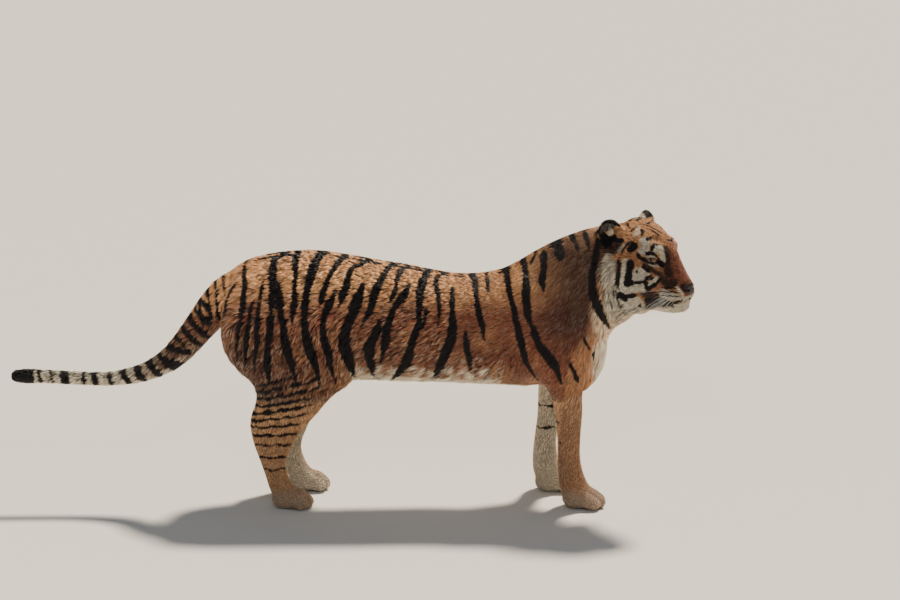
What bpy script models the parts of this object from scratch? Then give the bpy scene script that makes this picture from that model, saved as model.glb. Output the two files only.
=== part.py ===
"""A standing tiger at life size, its head turned a little to its right.

+X is forward, +Y is the animal's left and +Z is up, in metres. The flesh is modelled whole, from lofted
tubes and rounded masses that a voxel remesh blends, and is then parted by thin cuts into its named parts.
"""

import math
from collections import Counter

import bmesh
import bpy
from mathutils import Matrix, Vector
from mathutils.bvhtree import BVHTree

# ---- Driving dimensions, metres and degrees ----
GAP = 0.0004  # clear cut between two neighbouring parts
VOXEL = 0.006  # grid of the blend of all the masses
SMOOTH_ROUNDS = 7  # over the whole blend
BROAD_ROUNDS = 70  # over the trunk and the tops of the legs
FACE_SOFTNESS = 0.18  # share of those rounds that the face gets
TRIANGLES = 5300  # of the whole body before it is parted
RIM_STEP = 0.012  # shortest edge round a cut, and in the head a third of it

HEAD_CENTRE = Vector((0.7395, -0.100, 0.9035))  # midway between the eyes
HEAD_YAW = -32.0  # turned to the animal's right
HEAD_PITCH = 11.0  # nose down
EYE_RADIUS = 0.0175
EYE_SPREAD = 0.072  # of each eye from the middle of the head
EYE_SHOWS = 0.0045  # of the eyeball in front of the lids
EYE_FACES = 28.0  # degrees that each eye looks outwards

HIND_Y = 0.105  # of each hind foot from the middle line
FORE_Y = 0.100
FORE_BACK = 0.09  # the left fore foot stands this far behind the right
HIND_AHEAD = 0.05  # the left hind foot stands this far ahead of the right
FORWARD = Vector((1, 0, 0))
DOWN = Vector((0, 0, -1))
RING = 28  # points round a tube
TUBE_STEPS = 5  # rings between two stations
CAP_STEPS = 4

# Trunk: x, back, belly, half width
TRUNK = (
    (-0.775, 0.815, 0.640, 0.060),
    (-0.735, 0.854, 0.570, 0.110),
    (-0.670, 0.880, 0.510, 0.142),
    (-0.580, 0.896, 0.475, 0.158),
    (-0.480, 0.901, 0.456, 0.164),
    (-0.380, 0.891, 0.446, 0.168),
    (-0.270, 0.869, 0.440, 0.176),
    (-0.140, 0.847, 0.438, 0.184),
    (-0.020, 0.822, 0.436, 0.188),
    (0.090, 0.816, 0.430, 0.188),
    (0.190, 0.834, 0.424, 0.184),
    (0.290, 0.860, 0.420, 0.172),
    (0.380, 0.850, 0.430, 0.150),
    (0.440, 0.800, 0.450, 0.120),
)
# Neck: x, y, top, throat, half width
NECK = (
    (0.150, 0.000, 0.822, 0.560, 0.120),
    (0.220, 0.000, 0.853, 0.520, 0.140),
    (0.310, 0.000, 0.908, 0.500, 0.148),
    (0.400, 0.000, 0.953, 0.500, 0.146),
    (0.480, -0.004, 0.982, 0.540, 0.142),
    (0.550, -0.014, 1.000, 0.600, 0.138),
    (0.600, -0.034, 1.004, 0.660, 0.130),
    (0.640, -0.050, 0.990, 0.700, 0.118),
)
# Tail: x, z of its middle, radius
TAIL = (
    (-0.720, 0.775, 0.072),
    (-0.790, 0.735, 0.066),
    (-0.850, 0.665, 0.060),
    (-0.900, 0.600, 0.054),
    (-0.970, 0.522, 0.046),
    (-1.060, 0.468, 0.036),
    (-1.170, 0.442, 0.029),
    (-1.290, 0.440, 0.026),
    (-1.410, 0.447, 0.027),
    (-1.490, 0.449, 0.029),
    (-1.530, 0.449, 0.027),
)
# Fore leg: z, rear, front, distance from the middle line, half width
FORE_LEG = (
    (0.760, 0.165, 0.385, 0.096, 0.062),
    (0.680, 0.175, 0.440, 0.110, 0.076),
    (0.600, 0.195, 0.478, 0.122, 0.080),
    (0.540, 0.230, 0.482, 0.126, 0.074),
    (0.490, 0.275, 0.474, 0.124, 0.065),
    (0.450, 0.325, 0.467, 0.120, 0.057),
    (0.400, 0.353, 0.464, 0.115, 0.051),
    (0.330, 0.367, 0.463, 0.109, 0.048),
    (0.250, 0.375, 0.458, 0.105, 0.045),
    (0.180, 0.376, 0.458, 0.102, 0.046),
    (0.120, 0.378, 0.470, 0.100, 0.051),
    (0.075, 0.384, 0.490, 0.100, 0.056),
)
# Hind leg, from the thigh over the knee and the hock to the foot
HIND_LEG = (
    (0.800, -0.745, -0.470, 0.070, 0.062),
    (0.730, -0.788, -0.440, 0.090, 0.080),
    (0.660, -0.799, -0.418, 0.106, 0.088),
    (0.600, -0.796, -0.400, 0.118, 0.088),
    (0.550, -0.777, -0.384, 0.124, 0.084),
    (0.500, -0.735, -0.368, 0.126, 0.076),
    (0.460, -0.694, -0.364, 0.125, 0.067),
    (0.420, -0.676, -0.398, 0.122, 0.058),
    (0.380, -0.682, -0.432, 0.118, 0.049),
    (0.340, -0.697, -0.464, 0.114, 0.043),
    (0.300, -0.703, -0.500, 0.110, 0.039),
    (0.260, -0.697, -0.530, 0.108, 0.037),
    (0.210, -0.683, -0.558, 0.106, 0.036),
    (0.160, -0.664, -0.576, 0.105, 0.037),
    (0.110, -0.648, -0.566, 0.105, 0.040),
    (0.075, -0.638, -0.548, 0.105, 0.044),
)
# Rounded masses: x, distance from the middle line, z, half sizes along x, y and z, then pitch in degrees
MASSES = (
    (0.412, 0.000, 0.560, 0.142, 0.128, 0.178, -4.0),  # breast
    (0.290, 0.092, 0.690, 0.115, 0.080, 0.160, -24.0),  # shoulder blade
    (0.330, 0.124, 0.590, 0.145, 0.070, 0.130, -20.0),  # upper arm
    (0.415, 0.085, 0.590, 0.095, 0.085, 0.120, 0.0),  # point of the shoulder
    (-0.560, 0.095, 0.640, 0.200, 0.095, 0.180, 18.0),  # thigh
    (-0.430, 0.110, 0.520, 0.105, 0.066, 0.110, 20.0),  # knee and flank fold
    (-0.690, 0.070, 0.700, 0.098, 0.085, 0.145, 0.0),  # buttock
)
# Head, in its own frame, its origin midway between the eyes. Bridge of the nose: x, top, bottom, half width
BRIDGE = (
    (-0.060, 0.090, -0.050, 0.078),
    (-0.012, 0.073, -0.080, 0.050),
    (0.026, 0.049, -0.090, 0.038),
    (0.054, 0.019, -0.095, 0.035),
    (0.082, -0.018, -0.100, 0.034),
    (0.103, -0.040, -0.108, 0.034),
    (0.115, -0.054, -0.110, 0.031),
)
MUZZLE = (
    (-0.030, -0.010, -0.136, 0.072),
    (0.025, -0.020, -0.138, 0.060),
    (0.056, -0.032, -0.138, 0.054),
    (0.084, -0.046, -0.137, 0.053),
    (0.104, -0.056, -0.134, 0.049),
    (0.117, -0.066, -0.126, 0.041),
)
JAW = (
    (-0.090, -0.070, -0.200, 0.092),
    (-0.030, -0.090, -0.197, 0.074),
    (0.030, -0.105, -0.192, 0.056),
    (0.075, -0.110, -0.187, 0.046),
    (0.106, -0.114, -0.178, 0.039),
)
# Paired and single masses of the head: x, distance from the middle, z, then half sizes along x, y and z
HEAD_PAIRS = (
    (-0.024, 0.042, 0.034, 0.050, 0.036, 0.038),  # brow
    (-0.072, 0.072, -0.044, 0.084, 0.052, 0.086),  # cheekbone
    (-0.052, 0.070, -0.088, 0.094, 0.054, 0.084),  # cheek
    (-0.036, 0.060, -0.122, 0.096, 0.055, 0.078),  # jowl
    (-0.102, 0.084, -0.130, 0.088, 0.064, 0.140),  # ruff
    (0.080, 0.034, -0.102, 0.048, 0.032, 0.038),  # whisker pad
)
HEAD_SINGLES = (
    (-0.085, 0.0, 0.004, 0.108, 0.100, 0.100),  # skull
    (-0.118, 0.0, 0.031, 0.066, 0.078, 0.076),  # crown
    (-0.033, 0.0, 0.030, 0.068, 0.070, 0.058),  # forehead
    (-0.090, 0.0, -0.125, 0.090, 0.095, 0.090),  # throat
    (0.100, 0.0, -0.150, 0.034, 0.038, 0.030),  # chin
    (0.108, 0.0, -0.070, 0.021, 0.032, 0.022),  # nose
)
# Each ear: base centre x, distance from the middle, z, then turn outwards and lean back in degrees
EARS = {"right": (-0.176, -0.100, 0.040, -50.0, 16.0), "left": (-0.132, 0.098, 0.054, 64.0, 12.0)}
EAR_HALF_WIDTH = 0.049
EAR_HEIGHT = 0.068
EAR_DEPTH = 0.034
EAR_WALL = 0.0105

# Each paw's half width, its length from the ankle to the toes, and its x
FORE_PAW = (0.064, 0.128, 0.462)
HIND_PAW = (0.055, 0.118, -0.560)
PAW_HEIGHT = 0.066

# ---- Where the body is parted ----
SIDES = {"right": -1, "left": 1}
# Tail cuts from the tip forward: name, x, z, lean in degrees
TAIL_CUTS = (
    ("tail_tip", -1.440, 0.450, 0.0),
    ("tail_lower", -1.170, 0.442, -6.0),
    ("tail_upper", -0.935, 0.560, -48.0),
    ("tail_root", -0.805, 0.725, 0.0),
)
# Level cuts of the legs: name of what lies under the cut, height
FORE_CUTS = (("forepaw", 0.105), ("forearm", 0.370))
HIND_CUTS = (("hind_paw", 0.100), ("hind_foot", 0.285), ("shank", 0.425))
# Slanted cuts of the leg tops: name, distance from the middle line, z, slant, rear and front
LEG_TOPS = (("upper_arm", 0.055, 0.430, 52.0, 0.19, 0.70), ("thigh", 0.045, 0.440, 64.0, -0.90, -0.345))
HEAD_CUT = (0.545, 0.0, 0.820, 0.0, -6.3, -20.0)  # x, y, z, then turns about x, y and z
NECK_CUT = (0.225, 0.0, 0.860, 0.0, -44.6, 0.0)
CHEST_X = 0.02  # between abdomen and chest
PELVIS_X = -0.36  # between pelvis and abdomen
EAR_CUT = 0.016  # height of the cut above the middle of the ear
EAR_CUT_SLANT = 30.0
MOUTH_CORNER = (0.000, 0.0, -0.150)
MOUTH_SLANT = -13.0
NOSE_CUT = (0.112, 0.0, -0.070, 0.0, 18.0, 0.0)

JAW_HALF_WIDTH = 0.065
NOSE_HALF_WIDTH = 0.031
CLEAR = 0.4  # reach of a cutter's far sides, well clear of the body

HEAD_PARTS = ("head", "ear_right", "ear_left", "lower_jaw", "nose")

FINISHES = {
    "tail_tip": "coat_black",
    "ear_right": "coat_black",
    "ear_left": "coat_black",
    "lower_jaw": "coat_pale",
    "nose": "nose_leather",
    "eye_right": "eye",
    "eye_left": "eye",
}
MATERIALS = {
    "coat_orange": ((0.50, 0.19, 0.055), 0.75),
    "coat_pale": ((0.72, 0.60, 0.44), 0.75),
    "coat_black": ((0.020, 0.015, 0.014), 0.70),
    "eye": ((0.42, 0.27, 0.07), 0.12),
    "nose_leather": ((0.42, 0.16, 0.13), 0.45),
}


# ---- Scene helpers ----
def clear_scene():
    for old in list(bpy.data.objects):
        bpy.data.objects.remove(old)


def new_collection(name, in_render=True):
    made = bpy.data.collections.new(name)
    made.hide_render = not in_render
    bpy.context.scene.collection.children.link(made)
    return made


def add_object(name, mesh, collection):
    made = bpy.data.objects.new(name, mesh)
    collection.objects.link(made)
    return made


def mesh_from(name, build):
    """A mesh that build(bm) fills."""
    mesh = bpy.data.meshes.new(name)
    bm = bmesh.new()
    build(bm)
    bmesh.ops.recalc_face_normals(bm, faces=bm.faces)
    bm.to_mesh(mesh)
    bm.free()
    return mesh


def with_modifiers_applied(obj):
    """Gives the object the mesh that its modifiers make, and takes them off."""
    bpy.context.view_layer.update()
    graph = bpy.context.evaluated_depsgraph_get()
    mesh = bpy.data.meshes.new_from_object(obj.evaluated_get(graph))
    obj.modifiers.clear()
    obj.data = mesh
    mesh.name = obj.name
    return obj


def make_materials():
    made = {}
    for name, (colour, roughness) in MATERIALS.items():
        material = bpy.data.materials.new(name)
        material.use_nodes = True
        shader = material.node_tree.nodes["Principled BSDF"]
        shader.inputs["Base Color"].default_value = (*colour, 1.0)
        shader.inputs["Roughness"].default_value = roughness
        made[name] = material
    return made


def keep_largest_shell(obj):
    """Drops every loose bit but the largest, such as a pocket sealed inside or a sliver beside a cut."""
    bm = bmesh.new()
    bm.from_mesh(obj.data)
    waiting = set(bm.verts)
    shells = []
    while waiting:
        shell = set()
        front = [waiting.pop()]
        while front:
            vertex = front.pop()
            shell.add(vertex)
            near = {edge.other_vert(vertex) for edge in vertex.link_edges} & waiting
            waiting -= near
            front.extend(near)
        shells.append(shell)
    largest = max(shells, key=len)
    bmesh.ops.delete(bm, geom=[vertex for vertex in bm.verts if vertex not in largest], context="VERTS")
    bm.to_mesh(obj.data)
    bm.free()


# ---- Tubes and masses ----
def catmull_rom(p, q, r, s, t):
    """The curve's value at t of the way from q to r."""
    square = 2 * p - 5 * q + 4 * r - s
    cube = 3 * q - p - 3 * r + s
    return (2 * q + (r - p) * t + square * t**2 + cube * t**3) / 2


def smooth_between(stations, steps):
    """Stations with more put between them, on a Catmull-Rom curve through them."""
    made = []
    last = len(stations) - 1
    for i in range(last):
        a, b, c, d = (stations[min(max(i + k, 0), last)] for k in (-1, 0, 1, 2))
        for k in range(steps):
            made.append(tuple(catmull_rom(*values, k / steps) for values in zip(a, b, c, d)))
    made.append(stations[-1])
    return made


def tube(bm, stations, power=2.0, place=None, way=None, cap=0.8):
    """A closed tube with round ends through stations of x, y, z, half depth and half width.

    Its sections face way, or where there is none they stand square to its own path. Power 2 gives ellipses,
    and more gives fuller corners. Each end bulges by cap times its smaller half size.
    """
    place = place or Matrix.Identity(4)
    path = smooth_between(stations, TUBE_STEPS)
    centres = [Vector(row[:3]) for row in path]
    rings = []
    for i, row in enumerate(path):
        along = way or (centres[min(i + 1, len(path) - 1)] - centres[max(i - 1, 0)]).normalized()
        across = (Vector((0, 1, 0)) - along * along.y).normalized()
        rings.append((centres[i], along, across, along.cross(across), row[3], row[4]))
    shares = [math.sin(math.pi / 2 * k / CAP_STEPS) for k in range(1, CAP_STEPS)]
    start = [round_end(rings[0], -cap, share) for share in reversed(shares)]
    end = [round_end(rings[-1], cap, share) for share in shares]
    grid = []
    for centre, _along, across, up, depth, width in start + rings + end:
        row = []
        for k in range(RING):
            turn = 2 * math.pi * k / RING
            side, rise = math.cos(turn), math.sin(turn)
            side = math.copysign(abs(side) ** (2 / power), side)
            rise = math.copysign(abs(rise) ** (2 / power), rise)
            row.append(bm.verts.new(place @ (centre + across * side * width + up * rise * depth)))
        grid.append(row)
    for low, high in zip(grid, grid[1:]):
        for k in range(RING):
            n = (k + 1) % RING
            bm.faces.new((low[k], low[n], high[n], high[k]))
    bm.faces.new(grid[0])
    bm.faces.new(grid[-1])


def round_end(ring, cap, share):
    """The ring moved on by share of the end's bulge, and shrunk to the round end's size there."""
    centre, along, across, up, depth, width = ring
    left = math.sqrt(1 - share * share)
    return (centre + along * cap * min(depth, width) * share, along, across, up, depth * left, width * left)


def mass(bm, x, y, z, rx, ry, rz, pitch=0.0, place=None):
    """A rounded mass with half sizes rx, ry and rz, turned by pitch about the y axis."""
    matrix = Matrix.Translation((x, y, z)) @ Matrix.Rotation(math.radians(pitch), 4, "Y")
    matrix = (place or Matrix.Identity(4)) @ matrix @ Matrix.Diagonal((rx, ry, rz, 1.0))
    ball = bpy.data.meshes["ball"].copy()
    ball.transform(matrix)
    bm.from_mesh(ball)
    bpy.data.meshes.remove(ball)


def make_ball():
    """The unit ball that every rounded mass is a stretched copy of."""
    mesh_from("ball", lambda bm: bmesh.ops.create_uvsphere(bm, u_segments=32, v_segments=20, radius=1.0))


def head_matrix():
    turn = Matrix.Rotation(math.radians(HEAD_YAW), 4, "Z") @ Matrix.Rotation(math.radians(HEAD_PITCH), 4, "Y")
    return Matrix.Translation(HEAD_CENTRE) @ turn


# ---- The masses, body part by body part ----
def between(x, y, top, bottom, half):
    """A station of an upright section, from its top and bottom."""
    return (x, y, (top + bottom) / 2, (top - bottom) / 2, half)


def build_trunk(bm):
    tube(bm, [between(x, 0.0, back, belly, half) for x, back, belly, half in TRUNK], 2.25, way=FORWARD)
    tube(bm, [between(*row) for row in NECK], 2.15, way=FORWARD, cap=0.4)
    tube(bm, [(x, 0.0, z, r, r) for x, z, r in TAIL])
    for x, y, z, *sizes in MASSES:
        for side in (-1, 1) if y else (1,):
            mass(bm, x, side * y, z, *sizes)


def build_leg(bm, rows, side, ahead):
    """One leg. It moves ahead gradually, from nothing at the trunk to all of it at the foot."""
    top = rows[0][0]
    stations = []
    for z, rear, front, y, half in rows:
        moved = ahead * smoothstep((top - z) / top)
        stations.append(((rear + front) / 2 + moved, side * y, z, (front - rear) / 2, half))
    tube(bm, stations, 2.2, way=DOWN)


def smoothstep(t):
    t = min(max(t, 0.0), 1.0)
    return t * t * (3 - 2 * t)


def build_paw(bm, size, side_y, ahead, outwards):
    """A paw: the pad, the hump of its back and four toes, the middle two furthest forward."""
    half, length, x = size
    place = Matrix.Translation((x + ahead, side_y, 0.0)) @ Matrix.Rotation(math.radians(outwards), 4, "Z")
    mass(bm, -0.016, 0.0, 0.030, 0.056, half * 0.86, 0.036, place=place)
    mass(bm, 0.012, 0.0, PAW_HEIGHT * 0.62, 0.056, half * 0.84, PAW_HEIGHT * 0.46, place=place)
    for k in range(4):
        inner = k in (1, 2)
        across = (k - 1.5) * half * 0.50
        forward = length * (0.52 if inner else 0.36)
        splay = Matrix.Rotation(math.radians(7 * (k - 1.5)), 4, "Z")
        toe = place @ Matrix.Translation((forward, across, 0.0)) @ splay
        mass(bm, -0.026, 0.0, 0.034, 0.040, half * 0.30, 0.026, 16.0, toe)
        mass(bm, -0.002, 0.0, 0.021, 0.028, half * 0.31, 0.024, place=toe)


def build_head(bm, place):
    for rows, power, cap in ((BRIDGE, 2.3, 0.35), (MUZZLE, 2.3, 0.35), (JAW, 2.2, 0.6)):
        tube(bm, [between(x, 0.0, top, low, half) for x, top, low, half in rows], power, place, FORWARD, cap)
    for x, y, z, *sizes in HEAD_SINGLES:
        mass(bm, x, y, z, *sizes, place=place)
    for x, y, z, *sizes in HEAD_PAIRS:
        for side in (-1, 1):
            mass(bm, x, side * y, z, *sizes, place=place)


def ear_place(side):
    x, y, z, turn, lean = EARS[side]
    upright = Matrix.Rotation(math.radians(turn), 4, "Z") @ Matrix.Rotation(math.radians(-lean), 4, "Y")
    return head_matrix() @ Matrix.Translation((x, y, z)) @ upright


def build_ear(side, collection):
    """A round cup: an egg with a smaller egg cut from its open front."""
    place = ear_place(side)
    sizes = (EAR_DEPTH, EAR_HALF_WIDTH, EAR_HEIGHT)
    outer = mesh_from("ear_outer", lambda bm: mass(bm, 0, 0, 0, *sizes, place=place))
    inner = mesh_from(
        "ear_inner",
        lambda bm: mass(
            bm,
            EAR_WALL * 1.5,
            0,
            EAR_WALL * 0.2,
            EAR_DEPTH,
            EAR_HALF_WIDTH - EAR_WALL,
            EAR_HEIGHT - EAR_WALL * 1.1,
            place=place,
        ),
    )
    cup = add_object("ear_cup_" + side, outer, collection)
    cutter = add_object("ear_hollow_" + side, inner, collection)
    boolean(cup, cutter, "DIFFERENCE")
    with_modifiers_applied(cup)
    bpy.data.objects.remove(cutter)
    return cup


def boolean(obj, other, operation):
    modifier = obj.modifiers.new(operation.title(), "BOOLEAN")
    modifier.operation = operation
    modifier.object = other
    modifier.solver = "EXACT"
    modifier.material_mode = "TRANSFER"


# ---- The whole body ----
def build_body(collection):
    def fill(bm):
        build_trunk(bm)
        for side in (-1, 1):
            fore, hind = (-FORE_BACK, HIND_AHEAD) if side > 0 else (0.0, 0.0)
            build_leg(bm, FORE_LEG, side, fore)
            build_leg(bm, HIND_LEG, side, hind)
            build_paw(bm, FORE_PAW, side * FORE_Y, fore, side * 4.0)
            build_paw(bm, HIND_PAW, side * HIND_Y, hind, side * 6.0)
        build_head(bm, head_matrix())

    body = add_object("body", mesh_from("body", fill), collection)
    for side in EARS:
        ear = build_ear(side, collection)
        bm = bmesh.new()
        bm.from_mesh(body.data)
        bm.from_mesh(ear.data)
        bm.to_mesh(body.data)
        bm.free()
        bpy.data.objects.remove(ear)
    remesh = body.modifiers.new("Blend", "REMESH")
    remesh.mode = "VOXEL"
    remesh.voxel_size = VOXEL
    with_modifiers_applied(body)
    keep_largest_shell(body)
    soften(body)
    return body


def soften(body):
    """Smooths the blend a little everywhere, and much more over the trunk and the tops of the legs."""
    head = HEAD_CENTRE + Vector((-0.05, 0.0, -0.05))
    ears = [ear_place(side).translation for side in EARS]
    group = body.vertex_groups.new(name="broad")
    for vertex in body.data.vertices:
        x, _y, z = vertex.co
        above_legs = smoothstep((z - 0.34) / 0.16)
        off_head = smoothstep(((vertex.co - head).length - 0.17) / 0.10)
        off_tail = smoothstep((x + 0.86) / 0.12)
        off_ears = min(smoothstep(((vertex.co - ear).length - 0.06) / 0.03) for ear in ears)
        trunk = above_legs * off_head * off_tail
        group.add([vertex.index], max(trunk, FACE_SOFTNESS * (1 - off_head) * off_ears), "REPLACE")
    for rounds, name in ((BROAD_ROUNDS, group.name), (SMOOTH_ROUNDS, "")):
        smooth = body.modifiers.new("Soften", "SMOOTH")
        smooth.factor = 0.5
        smooth.iterations = rounds
        smooth.vertex_group = name
    with_modifiers_applied(body)
    body.vertex_groups.clear()


def thin_out(body):
    """Fewer triangles, which stay closest together where the body curves most: on the head and the paws."""
    faces = sum(len(face.vertices) - 2 for face in body.data.polygons)
    decimate = body.modifiers.new("Thin", "DECIMATE")
    decimate.ratio = TRIANGLES / faces
    decimate.use_collapse_triangulate = True
    with_modifiers_applied(body)


def flatten_soles(body):
    """Cuts the paws level with the floor."""
    bm = bmesh.new()
    bm.from_mesh(body.data)
    everything = bm.verts[:] + bm.edges[:] + bm.faces[:]
    down = (0, 0, -1)
    cut = bmesh.ops.bisect_plane(bm, geom=everything, plane_co=(0, 0, 0), plane_no=down, clear_outer=True)
    rim = [item for item in cut["geom_cut"] if isinstance(item, bmesh.types.BMEdge)]
    bmesh.ops.holes_fill(bm, edges=rim)
    bmesh.ops.triangulate(bm, faces=bm.faces)
    bmesh.ops.recalc_face_normals(bm, faces=bm.faces)
    bm.to_mesh(body.data)
    bm.free()


# ---- Parting ----
def cutter_box(name, place, low, high, grow, collection):
    """A box from low to high in the frame of place, grown by grow on every side."""
    middle = (Vector(low) + Vector(high)) / 2
    size = Vector(high) - Vector(low) + Vector((2 * grow, 2 * grow, 2 * grow))
    matrix = place @ Matrix.Translation(middle) @ Matrix.Diagonal((*size, 1.0))
    mesh = mesh_from(name, lambda bm: bmesh.ops.create_cube(bm, size=1.0, matrix=matrix))
    box = add_object(name, mesh, collection)
    box.display_type = "WIRE"
    box.data.materials.append(bpy.data.materials["cut_face"])
    return box


def part_off(rest, name, place, low, high, parts, cutters):
    """Takes what a box holds off the rest as a part of its own, and leaves a clear gap between the two."""
    piece = add_object(name, rest.data.copy(), parts)
    boolean(piece, cutter_box("inside_" + name, place, low, high, 0.0, cutters), "INTERSECT")
    boolean(rest, cutter_box("around_" + name, place, low, high, GAP, cutters), "DIFFERENCE")
    with_modifiers_applied(piece)
    with_modifiers_applied(rest)
    return piece


def turned(x, y, z, about_x=0.0, about_y=0.0, about_z=0.0):
    """A frame at x, y, z, turned about x, then y, then z, in degrees."""
    made = Matrix.Translation((x, y, z))
    for angle, axis in ((about_z, "Z"), (about_y, "Y"), (about_x, "X")):
        made = made @ Matrix.Rotation(math.radians(angle), 4, axis)
    return made


def part_tail(rest, parts, cutters):
    """Four lengths, from the tip forward. Each cut stands square to the tail where it crosses it."""
    for name, x, z, lean in TAIL_CUTS:
        place = turned(x, 0, z, about_y=lean)
        part_off(rest, name, place, (-1.2, -0.2, -0.23), (0, 0.2, 0.6), parts, cutters)


def part_legs(rest, parts, cutters):
    """Level cuts from wrist to elbow and from ankle to knee, then slanted ones into the trunk."""
    for name, side in SIDES.items():
        near, far = sorted((0.0, side * CLEAR))
        for kind, levels, back, front in (("fore", FORE_CUTS, 0.1, 0.8), ("hind", HIND_CUTS, -0.95, -0.2)):
            for part, level in levels:
                box = (back, near, -0.1), (front, far, level)
                part_off(rest, f"{part}_{name}", Matrix.Identity(4), *box, parts, cutters)
    for name, side in SIDES.items():
        for part, y, z, slant, back, front in LEG_TOPS:
            place = turned(0, side * y, z, about_x=side * slant)
            part_off(rest, f"{part}_{name}", place, (back, -0.6, -0.6), (front, 0.6, 0), parts, cutters)


def part_head(rest, parts, cutters):
    """The head from behind the ears, then its ears, its lower jaw and its nose from the head."""
    place = turned(*HEAD_CUT)
    head = part_off(rest, "head", place, (0, -CLEAR, -0.34), (0.6, CLEAR, CLEAR), parts, cutters)
    for name in EARS:
        side = SIDES[name]
        place = ear_place(name) @ turned(0, 0, EAR_CUT, about_x=-side * EAR_CUT_SLANT)
        part_off(head, f"ear_{name}", place, (-0.07, -0.075, 0), (0.07, 0.075, 0.12), parts, cutters)
    place = head_matrix() @ turned(*MOUTH_CORNER, about_y=MOUTH_SLANT)
    part_off(head, "lower_jaw", place, (0, -JAW_HALF_WIDTH, -0.1), (0.3, JAW_HALF_WIDTH, 0), parts, cutters)
    place = head_matrix() @ turned(*NOSE_CUT)
    low, high = (0, -NOSE_HALF_WIDTH, -0.025), (0.1, NOSE_HALF_WIDTH, 0.018)
    part_off(head, "nose", place, low, high, parts, cutters)
    return head


def part_trunk(rest, parts, cutters):
    part_off(rest, "neck", turned(*NECK_CUT), (0, -CLEAR, -0.6), (0.6, CLEAR, 0.5), parts, cutters)
    part_off(rest, "chest", turned(CHEST_X, 0, 0), (0, -CLEAR, 0), (1, CLEAR, 1.2), parts, cutters)
    part_off(rest, "abdomen", turned(PELVIS_X, 0, 0), (0, -CLEAR, 0), (1, CLEAR, 1.2), parts, cutters)
    rest.name = rest.data.name = "pelvis"
    cutters.objects.unlink(rest)
    parts.objects.link(rest)


def add_eyes(head, parts, cutters):
    """Each eyeball sits in a socket, with only its front out of the head."""
    surface = BVHTree.FromPolygons(
        [vertex.co for vertex in head.data.vertices], [list(face.vertices) for face in head.data.polygons]
    )
    for name, side in SIDES.items():
        looks = Matrix.Rotation(math.radians(side * EYE_FACES), 3, "Z") @ Vector((1, 0, 0))
        looks = head_matrix().to_3x3() @ looks
        start = head_matrix() @ Vector((0, side * EYE_SPREAD, 0)) + looks * 0.2
        skin, *_ = surface.ray_cast(start, -looks)
        centre = skin - looks * (EYE_RADIUS - EYE_SHOWS)
        for kind, radius, collection in (("eye", EYE_RADIUS, parts), ("socket", EYE_RADIUS + GAP, cutters)):
            ball = mesh_from(
                f"{kind}_{name}",
                lambda bm: bmesh.ops.create_icosphere(
                    bm, subdivisions=3, radius=radius, matrix=Matrix.Translation(centre)
                ),
            )
            made = add_object(f"{kind}_{name}", ball, collection)
            made.display_type = "TEXTURED" if kind == "eye" else "WIRE"
        boolean(head, made, "DIFFERENCE")
    with_modifiers_applied(head)


def weld_rim(part, step):
    """Merges the corners round each cut that lie closer together than step, but for those of two cuts."""
    bm = bmesh.new()
    bm.from_mesh(part.data)
    cuts = [face for face in bm.faces if face.material_index]
    times = Counter(vertex for face in cuts for vertex in face.verts)
    for rim in [[vertex for vertex in face.verts if times[vertex] == 1] for face in cuts]:
        bmesh.ops.remove_doubles(bm, verts=rim, dist=step)
    bmesh.ops.dissolve_degenerate(bm, edges=bm.edges, dist=1e-5)
    bm.to_mesh(part.data)
    bm.free()


# ---- Finish ----
def finish(parts):
    """Sets the origin under the middle of the whole body, and gives each part its material."""
    corners = [vertex.co for part in parts.objects for vertex in part.data.vertices]
    middle = [(min(c[k] for c in corners) + max(c[k] for c in corners)) / 2 for k in (0, 1)]
    shift = Matrix.Translation((-middle[0], -middle[1], 0))
    materials = make_materials()
    for part in parts.objects:
        if not part.name.startswith("eye"):
            weld_rim(part, RIM_STEP / 3 if part.name in HEAD_PARTS else RIM_STEP)
            keep_largest_shell(part)
        part.data.transform(shift)
        part.data.polygons.foreach_set("material_index", [0] * len(part.data.polygons))
        part.data.materials.clear()
        part.data.materials.append(materials[FINISHES.get(part.name, "coat_orange")])
        part.data.shade_smooth()
        part.data.set_sharp_from_angle(angle=math.radians(50))


def main():
    clear_scene()
    make_ball()
    parts = new_collection("tiger")
    cutters = new_collection("cutters", in_render=False)
    body = build_body(cutters)
    thin_out(body)
    for name in ("flesh", "cut_face"):
        bpy.data.materials.new(name)
    body.data.materials.append(bpy.data.materials["flesh"])
    flatten_soles(body)
    part_tail(body, parts, cutters)
    part_legs(body, parts, cutters)
    head = part_head(body, parts, cutters)
    add_eyes(head, parts, cutters)
    part_trunk(body, parts, cutters)
    finish(parts)


if __name__ == "__main__":
    main()
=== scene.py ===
"""A standing tiger: one skin over the body, a coat of fur tufts, eyes, nose leather, claws and whiskers.

Metres, +X forward, +Y the animal's left, +Z up. Markings are functions of place, which both the skin and
every tuft of the coat ask.
"""

import math

import bmesh
import bpy
import numpy as np
from mathutils import Matrix, Vector
from mathutils.bvhtree import BVHTree
from mathutils.kdtree import KDTree


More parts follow.
